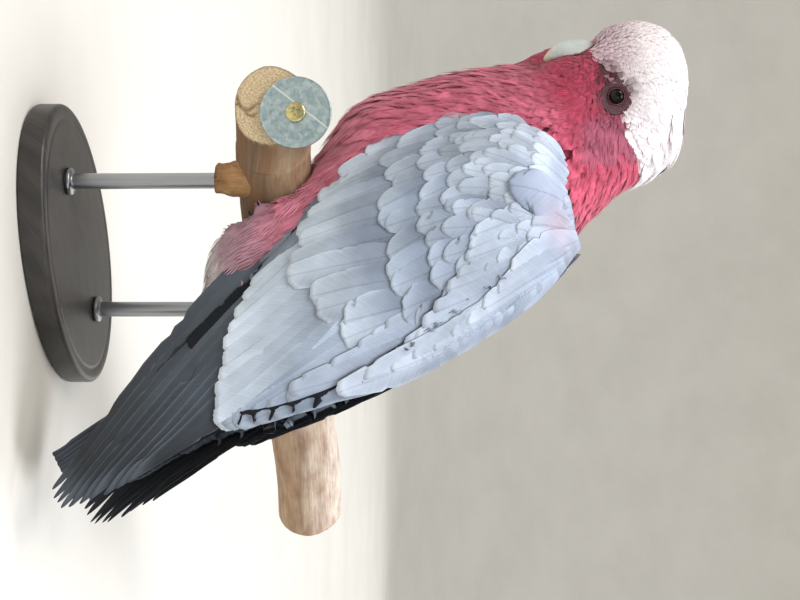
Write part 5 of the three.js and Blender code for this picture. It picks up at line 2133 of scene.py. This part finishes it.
@dataclass
class Foot:
    """One foot that grips the branch with two toes forward and two back, its scales and its claws."""

    name: str
    side: int
    centre: float = 6.0
    spacing: float = 14.0
    toe_radius: float = 3.1
    shank_radius: float = 3.6
    claw_radius: float = 1.7
    gap: float = 0.35

    def _grip(self, along: float, degrees: float, off: float) -> tuple[float, ...]:
        """A point on the grip: along the branch, the angle round from its top, and off its surface."""
        angle, reach = math.radians(degrees), Branch.radius + off
        return tuple(
            by_branch(np.array(along), np.array(reach * math.sin(angle)), np.array(reach * math.cos(angle)))
        )

    def build(self) -> list[bpy.types.Object]:
        """Makes the scaled foot and its four claws."""
        at = self.centre + self.side * self.spacing
        points, faces, tones = joined([self._shank(at), *(self._toe(at, toe) for toe in TOES)])
        made = made_object(f"foot_{self.name}_scales", points, faces)
        store(made.data, "tone", "FLOAT_COLOR", tones)
        face_out(made)
        hand_in(made, FOOT_SCALE.material(), (f"foot_{self.name}",))
        return [made, *(self._claw(at, toe) for toe in TOES)]

    def _scaled(self, stations: tuple[Station, ...], rings: int, scutes: int, top: float) -> tuple:
        """A limb with broad plates across its upper face and small round scales on the rest.

        Args:
            stations: its sections.
            rings: rings of points along it.
            scutes: how many plates lie along it.
            top: the angle round it that the plates face.

        Returns:
            Points, faces and tones.
        """
        sides = 30
        points, faces, along, round_ = limb(stations, ALONG_BRANCH, sides, rings)
        across = step(np.cos(round_ - top), -0.1, 0.35)
        cell = along * scutes
        plate_edge = np.abs(cell - np.round(cell)) * 2
        broad = 0.30 * step(plate_edge, 0.0, 0.42) - 0.14
        bead_row = cell * 1.9
        bead = np.sin(round_ * 9 + np.floor(bead_row) * 1.6) * np.sin(
            (bead_row - np.floor(bead_row)) * math.pi
        )
        relief = broad * across + 0.16 * bead * (1 - across)
        points = points + unit(points - middles(points, rings, sides)) * (relief * 0.8)[:, None]
        # Painted shade: darker in the grooves between the plates and in the sunk halves of the small
        # scales.
        groove = (1 - step(plate_edge, 0.0, 0.3)) * across
        tone = 1 - 0.45 * groove - 0.16 * (1 - across) * (bead < 0)
        return points, capped(faces, rings, sides), tone[:, None] + np.zeros(3)

    def _shank(self, at: float) -> tuple:
        """The short bare shank from the foot up into the feathers."""
        ankle = np.array(self._grip(at, 0, self.toe_radius + self.gap))
        climb = (((0, 0, -1.0), 1.0), ((4, 0, 8.0), 0.9), ((9, -self.side * 1.0, 18.0), 1.0))
        stations = tuple(
            Station(
                tuple(ankle + up), self.shank_radius * size, self.shank_radius * size
            ) for up, size in climb
        )
        return self._scaled(stations, 46, 9, 1.5 * math.pi)

    def _toe(self, at: float, toe: Toe) -> tuple:
        """One toe, from the middle of the foot round to the root of its claw."""
        stations = []
        for t in (0.0, 0.33, 0.66, 1.0):
            size = self.toe_radius * (1 - 0.22 * t)
            off = self.toe_radius + self.gap - (self.toe_radius - size)
            stations.append(
                Station(self._grip(at + toe.fan * t, toe.forward * toe.wrap * t, off), size, size)
            )
        top = math.pi / 2 if toe.forward < 0 else 1.5 * math.pi
        return self._scaled(tuple(stations), 72, 15, top)

    def _claw(self, at: float, toe: Toe) -> bpy.types.Object:
        """One curved claw."""
        stations = []
        for t in (0.0, 0.4, 0.75, 1.0):
            size = self.claw_radius * (1 - 0.84 * t)
            off = size + self.gap + 1.6 * math.sin(math.pi * t)
            angle = toe.forward * (toe.wrap + 1 + 37 * t)
            stations.append(Station(self._grip(at + toe.fan, angle, off), size * 0.86, size))
        rings, sides = 30, 18
        points, faces, _, _ = limb(tuple(stations), ALONG_BRANCH, sides, rings)
        name = f"claw_{self.name}_{toe.name}"
        made = made_object(name + "_horn", points, capped(faces, rings, sides))
        face_out(made)
        hand_in(made, CLAW_HORN.material(), (name,))
        return made


# ---- Perch ----
@dataclass
class Branch:
    """The cut length of branch: sawn square at the far end, and on a slant where the washer sits."""

    radius = 16.6
    sawn_end: float = -58.5
    far_end: float = 186.0
    bend_at: float = 24.0
    steps: int = 220
    sides: int = 96
    face_rings: int = 26
    sawn_normal: tuple[float, float, float] = (0.26, -0.966, 0.0)
    knots: tuple[tuple[float, float, float], ...] = (
        (126.0, -0.9, -1.1), (84.0, 2.3, 0.9), (-34.0, 0.7, 0.8)
    )
    cracks: tuple[tuple[float, float], ...] = ((-1.45, 0.05), (-1.75, 0.035), (0.6, 0.03), (2.5, 0.03))
    stub: tuple[tuple[float, ...], ...] = (
        (-25, -4, -4, 9.6, 9), (-26, -6, -12, 8.6, 8), (-27, -8, -18, 7.6, 6.8), (-28, -9, -24, 5.2, 4.7),
    )  # along, aside and over the axis, then half width and half depth

    def axis(self, along: np.ndarray) -> tuple[np.ndarray, np.ndarray, np.ndarray]:
        """The branch's radius, wander and rise at distances along it."""
        away = np.maximum(0, np.abs(along) - 34)
        swell = 0.00012 * away**2 * np.where(along < 0, 4, 0)
        wander = 2.4 * np.sin(away / 48) * np.sign(along)
        return self.radius + swell, wander, np.where(along < 0, 0.09 * away, 1.2 * np.sin(away / 48))

    def build(self) -> bpy.types.Object:
        """Makes the branch with its knots and fibres, both sawn faces and the torn stub, as one piece."""
        stem, grid = self._stem()
        parts = [
            stem, self._sawn_face(grid[0], False, 3.0), self._sawn_face(grid[-1], True, 9.0), self._stub()
        ]
        points, faces, tones, grain = joined(parts)
        made = made_object("branch_wood", points, faces)
        store(made.data, "tone", "FLOAT_COLOR", tones)
        set_map(made.data, "grain", grain)
        seam = bmesh.new()
        seam.from_mesh(made.data)
        bmesh.ops.remove_doubles(seam, verts=seam.verts, dist=1e-5)
        for edge in seam.edges:
            edge.smooth = not (len(edge.link_faces) == 2 and edge.calc_face_angle(0) > math.radians(50))
        seam.to_mesh(made.data)
        seam.free()
        face_out(made)
        hand_in(made, PERCH_WOOD.material(), ("perch_branch",))
        return made

    def _stem(self) -> tuple[tuple, np.ndarray]:
        """The long round of the stem: points, faces, tones and grain places, and its points as a grid."""
        along = np.linspace(self.sawn_end, self.far_end, self.steps)
        radius, wander, rise = self.axis(along)
        sawn = unit(np.array(self.sawn_normal))
        slant = step(-along, self.bend_at, -self.sawn_end)[:, None]
        aside = unit(ASIDE_BRANCH * (1 - slant) + np.array([sawn[1], -sawn[0], 0.0]) * slant)
        along = along[:, None]
        angle = around(self.sides)
        bump = np.where(np.abs(along) > 40, 0.5, 0.0) * np.sin(3 * angle + along / 17)
        girth = np.stack(
            np.broadcast_arrays(along / 34, 1.6 * np.cos(angle), 1.6 * np.sin(angle)), -1
        ).reshape(-1, 3)
        fibre, lump, streak = (
            ripple(girth * stretch, 1.0, seed).reshape(self.steps, self.sides)
            for stretch, seed in (([1, 9, 9], 2.0), (1, 5.0), ([0.7, 4, 4], 7.0))
        )
        under_feet = 1 - 0.75 * step(along, -16, -8) * step(along, 28, 22)
        relief = (0.20 * fibre + 0.55 * lump - 0.35) * under_feet
        for place, at, deep in self.knots:
            off = np.hypot((along - place) / 6, (np.mod(angle - at + math.pi, 2 * math.pi) - math.pi) * 3.2)
            relief = relief + deep * np.exp(-off**2) - 0.5 * deep * np.exp(-((off - 1.3) ** 2) * 3)
        reach = radius[:, None] + bump + relief
        middle = by_branch(along[:, 0], wander, rise)[:, None]
        upright = (reach * np.sin(angle))[..., None] * np.array([0, 0, 1.0])
        points = middle + (reach * np.cos(angle))[..., None] * aside[:, None] + upright
        # Lighter on the upper side of the stem, and in random lumps.
        lighter_on_top = np.clip(np.sin(angle) * 0.8 + 0.35 + 0.5 * lump, 0, 1)
        far = step(along, 20, 70)
        tone = mix(mix("#7d6650", "#b39d80", lighter_on_top), mix("#b89c80", "#dccdbd", lighter_on_top), far)
        tone = tone * (1 - 0.45 * np.clip(1.4 * streak - 0.25, 0, 1)[..., None])
        grain = np.stack(np.broadcast_arrays(angle * self.radius, along), -1)
        faces = grid_faces(self.steps, self.sides, closed=True)[:, ::-1].tolist()
        return (points.reshape(-1, 3), faces, tone.reshape(-1, 3), grain.reshape(-1, 2)), points

    def _sawn_face(self, rim: np.ndarray, flip: bool, seed: float) -> tuple:
        """A sawn end: rough end grain with saw marks, drying cracks and a darker heart.

        Args:
            rim: the ring of points that it closes.
            flip: whether its faces run the other way round.
            seed: what sets its cracks apart from another's.

        Returns:
            Points, faces, tones and grain places.
        """
        middle = rim.mean(0)
        share = np.linspace(1, 0.0, self.face_rings)[:, None]
        angle = around(self.sides)
        points = middle + (rim - middle)[None] * np.maximum(share, 0.004)[..., None]
        normal = unit(np.cross(rim[self.sides // 4] - middle, rim[0] - middle))
        flat = points.reshape(-1, 3)
        saw = 0.10 * np.sin(flat[:, 2] / 0.55 + 1.2 * ripple(flat, 9.0, seed))
        rough = 0.16 * ripple(flat, 1.3, seed)
        crack = np.zeros((self.face_rings, self.sides))
        for k, (at, wide) in enumerate(self.cracks):
            bent = np.mod(angle - at - 0.25 * np.sin(share * 7 + k) + math.pi, 2 * math.pi) - math.pi
            crack = np.maximum(
                crack, np.exp(-((bent * share / wide) ** 2)) * step(share, 0.25 + 0.1 * k, 0.6)
            )
        sink = (saw + rough - 0.2).reshape(crack.shape) - 1.1 * crack
        points = points + normal * (sink * (share < 0.999) * step(share, 1.0, 0.97))[..., None]
        radius = np.linalg.norm(rim - middle, axis=1).mean()
        years = 0.5 + 0.5 * np.sin(share * radius / 1.5 * 2 * math.pi + 0.5 * np.sin(3 * angle))
        tone = linear("#e6d2ab") * (0.88 + 0.16 * years)[..., None]
        # The heart is darker wood; the cracks are darkened as painted shade inside them.
        tone = mix(tone, "#8b6a45", 0.25 * step(share, 0.5, 0.15) + 0.8 * crack)
        tone = mix(tone, "#6f5138", step(share, 0.95, 1.0) * 0.6)
        grain = points.reshape(-1, 3)[:, [0, 2]] * [9.0, 20.0]
        faces = capped(grid_faces(self.face_rings, self.sides, closed=True), self.face_rings, self.sides)
        del faces[-2]
        turned_faces = [face[::-1] for face in faces] if flip else faces
        return points.reshape(-1, 3), turned_faces, tone.reshape(-1, 3), grain

    def _stub(self) -> tuple:
        """The stub of a side shoot that was torn off, its end splintered."""
        stations = tuple(
            Station(tuple(by_branch(*np.array([along, aside, height], float))), *size)
            for along, aside, height, *size in self.stub
        )
        rings, sides = 44, 60
        points, faces, along, round_ = limb(stations, ALONG_BRANCH, sides, rings)
        torn = step(along, 0.55, 0.95)
        splinter = ripple(np.stack([np.cos(round_) * 4, np.sin(round_) * 4, along * 0.8], 1), 1.0, 4.0)
        rough = ripple(points, 2.2, 6.0) * (0.5 + 1.1 * torn)
        points = points + unit(points - middles(points, rings, sides)) * rough[:, None]
        points[:, 2] -= torn * 1.8 * np.clip(splinter, -0.6, 1)
        tone = mix("#b08a5e", "#6b4a31", np.clip(torn * 0.5 + 0.5 * splinter, 0, 1))
        return points, capped(faces, rings, sides), tone, np.stack([round_ * 8, along * 30], -1)


@dataclass
class Fixing:
    """The penny washer and the cross-head screw on the slanting sawn face."""

    radius: float = 15.0
    hole: float = 3.0
    thickness: float = 1.6
    edge: float = 0.3
    aside: float = 2.8
    lift: float = 9.8
    gap: float = 0.35
    head_radius: float = 4.2
    head_height: float = 1.3
    recess: float = 2.3
    slot: float = 0.62

    def build(self) -> list[bpy.types.Object]:
        """Makes the washer and the screw."""
        return [self._washer(), self._screw()]

    def _placed(self, points: np.ndarray) -> np.ndarray:
        """Points of a piece turned about +Z, set on the sawn face with their Z standing off it."""
        branch = Branch()
        normal = unit(np.array(branch.sawn_normal))
        across = np.array([normal[1], -normal[0], 0.0])
        _, wander, rise = branch.axis(np.array(branch.sawn_end))
        centre = by_branch(np.array(branch.sawn_end), wander, rise)
        centre = centre - across * self.aside + np.array([0, 0, self.lift])
        return centre + points @ np.array([-across, [0, 0, 1.0], normal])

    def _washer(self) -> bpy.types.Object:
        """The washer, its edges pressed over, dished very slightly round the screw."""
        low, high, r, e = self.gap, self.gap + self.thickness, self.radius, self.edge
        profile = [(self.hole, low), (r - e, low), (
            r - 0.3 * e, low + 0.3 * e
        ), (r, low + e), (r, high - e),
                   (r - 0.3 * e, high - 0.3 * e), (r - e, high), (r - 1.2, high)]
        dish = np.linspace(r - 2, self.hole, 22)
        profile += [(x, high - 0.10 * (1 - x / r) + 0.02 * math.sin(x * 3)) for x in dish]
        points, faces = turned(profile, 120)
        made = made_object("washer_zinc", self._placed(points), faces)
        set_map(made.data, "disc", points[:, :2])
        face_out(made)
        hand_in(made, WASHER_ZINC.material(), ("perch_washer",))
        return made

    def _screw(self) -> bpy.types.Object:
        """The screw's low domed head with a cross recess, its walls sloping in."""
        low = 2 * self.gap + self.thickness
        r, h = self.head_radius, self.head_height
        dome = [(r * math.cos(t), low + 0.35 + (h - 0.35) * math.sin(t)) for t in np.linspace(0.0, 1.5, 16)]
        points, faces = turned([(r - 0.2, low), (r, low + 0.15), *dome], 72)
        made = made_object("screw_head", self._placed(points), faces)
        points, faces = self._cross(low + h)
        cutter = made_object("cross", self._placed(points), faces)
        face_out(made)
        face_out(cutter)
        cut = made.modifiers.new("cross", "BOOLEAN")
        cut.object = cutter
        cut.operation = "DIFFERENCE"
        cut.solver = "EXACT"
        settled(made)
        discard(cutter)
        made.data.polygons.foreach_set("use_smooth", np.full(len(made.data.polygons), False))
        hand_in(made, SCREW_ZINC.material(), ("perch_screw",))
        return made

    def _cross(self, top: float) -> tuple[np.ndarray, list]:
        """A tapering cross that cuts the recess."""
        outline = []
        for k in range(4):
            a = k * math.pi / 2 + math.radians(20)
            out, side = np.array([math.cos(a), math.sin(a)]), np.array([-math.sin(a), math.cos(a)])
            outline += [out * self.recess - side * self.slot, out * self.recess + side * self.slot,
                        out * self.slot + side * self.slot]
        outline, count = np.array(outline), len(outline)
        upper = np.hstack([outline, np.full((count, 1), top + 0.6)])
        lower = np.hstack([outline * 0.72, np.full((count, 1), top - 0.95)])
        walls = grid_faces(2, count, closed=True)
        return np.vstack([upper, lower]), capped(walls, 2, count)


# ---- Stand and studio ----
@dataclass
class Stand:
    """The oval base of black-stained ash and the two steel rods that carry the branch."""

    half_length: float = 70.0
    half_width: float = 46.0
    height: float = 12.0
    bevel: float = 1.8
    bead: float = 0.45
    rod_radius: float = 3.5
    collar_radius: float = 6.0
    collar_height: float = 2.4

    def build(self) -> list[bpy.types.Object]:
        """Makes the base and the rods."""
        return [self._base(), self._rod("front"), self._rod("back")]

    def _base(self) -> bpy.types.Object:
        """The turned base: rounded edges, a shallow bead round its top and a very low crown."""
        w, h, b = self.half_width, self.height - self.bead, self.bevel
        quarter = np.linspace(0, math.pi / 2, 7)
        lower = [(w - b + b * math.sin(t), b - b * math.cos(t)) for t in quarter]
        upper = [(w - b + b * math.cos(t), h - b + b * math.sin(t)) for t in quarter]
        bead = [(w - b - 2.2, h), (w - b - 2.8, h - 0.35), (w - b - 3.4, h)]
        crown = [
            (r, h + self.bead * math.cos(r / (w - 5) * math.pi / 2)) for r in np.linspace(w - 6, 0.4, 24)
        ]
        points, faces = turned([(w * 0.5, 0.0), *lower, *upper, *bead, *crown], 160)
        points[:, 0] *= self.half_length / self.half_width
        made = made_object("base_wood", turn(points, BRANCH_HEADING) - BIRD_ORIGIN, faces)
        face_out(made)
        store(made.data, "tone", "FLOAT_COLOR", np.tile(linear("#3a3735"), (len(points), 1)))
        set_map(made.data, "grain", np.stack([points[:, 1] + points[:, 2] * 0.6, points[:, 0]], -1))
        hand_in(made, BASE_WOOD.material(), ("stand_base",))
        return made

    def _rod(self, name: str) -> bpy.types.Object:
        """One rod with the collar at its foot, its top let into the branch."""
        least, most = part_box(f"stand_rod_{name}")
        middle = (least + most) / 2 / MM
        low, high = self.height - 0.2, most.z / MM + 1.0
        r, c, t = self.rod_radius, self.collar_radius, self.collar_height
        profile = [(c * 0.5, low), (c, low), (c, low + t - 0.5), (c - 0.5, low + t), (r + 0.5, low + t),
                   (r, low + t + 0.5), *[(r, z) for z in np.linspace(low + t + 1, high, 20)]]
        points, faces = turned(profile, 48)
        made = made_object(f"rod_{name}_steel", points + [middle.x, middle.y, 0] - BIRD_ORIGIN, faces)
        face_out(made)
        hand_in(made, ROD_STEEL.material(), (f"stand_rod_{name}",))
        return made


@dataclass(frozen=True)
class Lamp:
    """A square soft light that looks at the bird: its place and side in metres, and its power in watts."""

    name: str
    at: tuple[float, float, float]
    size: float
    power: float
    colour: str

    def build(self) -> None:
        """Hangs the light."""
        data = bpy.data.lights.new(self.name, "AREA")
        data.size, data.energy, data.color = self.size, self.power, tuple(linear(self.colour))
        made = bpy.data.objects.new(self.name, data)
        made.location = self.at
        made.rotation_euler = (Vector(self.at) - Vector((0, 0, 0.15))).to_track_quat("Z", "Y").to_euler()
        bpy.context.scene.collection.objects.link(made)


LAMPS = (
    Lamp("key", (-0.9, -1.5, 2.1), 1.2, 43.0, "#fffaf5"),
    Lamp("sky", (0.3, 0.0, 2.5), 2.0, 66.0, "#f4f7ff"),
    Lamp("fill", (1.9, -1.3, 0.9), 1.6, 10.0, "#f0f5ff"),
    Lamp("rear", (0.4, 2.0, 1.2), 1.8, 13.0, "#ffffff"),
)


@dataclass
class Studio:
    """The camera, the soft lights and the pale floor that rises into a round backdrop."""

    camera_at: tuple[float, float, float] = (205.7, -592.2, 189.2)
    heading: float = 17.0
    pitch: float = 3.0
    lens: float = 63.0
    sensor: float = 36.0
    floor_radius: float = 2.6
    bend: float = 1.2
    wall_height: float = 3.6
    room: str = "#e9ebee"
    room_strength: float = 0.45

    def build(self) -> None:
        """Makes everything that isn't part of the model."""
        bpy.context.scene.view_settings.view_transform = "Standard"
        self._camera()
        self._floor()
        for lamp in LAMPS:
            lamp.build()
        world = bpy.data.worlds.new("room")
        world.use_nodes = True
        ground = world.node_tree.nodes["Background"]
        ground.inputs["Color"].default_value = rgba(self.room)
        ground.inputs["Strength"].default_value = self.room_strength
        bpy.context.scene.world = world

    def _camera(self) -> None:
        """The camera, turned a quarter round so that up in the world is to the right in the frame."""
        a, p = math.radians(self.heading), math.radians(self.pitch)
        right = Vector((math.cos(a), math.sin(a), 0))
        ahead = Vector((-math.sin(a) * math.cos(p), math.cos(a) * math.cos(p), -math.sin(p)))
        up = right.cross(ahead)
        data = bpy.data.cameras.new("camera")
        data.lens, data.sensor_width = self.lens, self.sensor
        data.clip_start, data.clip_end = 0.01, 50
        camera = bpy.data.objects.new("camera", data)
        turned_by = Matrix((up, -right, -ahead)).transposed().to_4x4()
        camera.matrix_world = Matrix.Translation(Vector(self.camera_at) * MM) @ turned_by
        bpy.context.scene.collection.objects.link(camera)
        bpy.context.scene.camera = camera

    def _floor(self) -> None:
        """A round floor that curves up into a wall."""
        profile = [(r, 0.0) for r in np.linspace(0.05, self.floor_radius, 12)]
        for t in np.linspace(0.1, math.pi / 2, 14):
            profile.append((self.floor_radius + self.bend * math.sin(t), self.bend * (1 - math.cos(t))))
        profile.append((self.floor_radius + self.bend, self.wall_height))
        points, faces = turned(profile, 96)
        open_above = faces[:-1]
        floor = made_object("floor", points / MM - BIRD_ORIGIN, open_above)
        floor.data.materials.append(FLOOR_PAINT.material())


def main() -> None:
    """Builds the studio, the stand, the perch and the bird."""
    Studio().build()
    Stand().build()
    Branch().build()
    Fixing().build()
    skin = Skin()
    skin.build()
    Bill().build()
    for name, side in SIDES:
        Eye(name, side).build()
        Foot(name, side).build()
        Wing(name, side, seed=11 + side).build()
    Tail().build()
    Coat(skin).build()


if __name__ == "__main__":
    main()
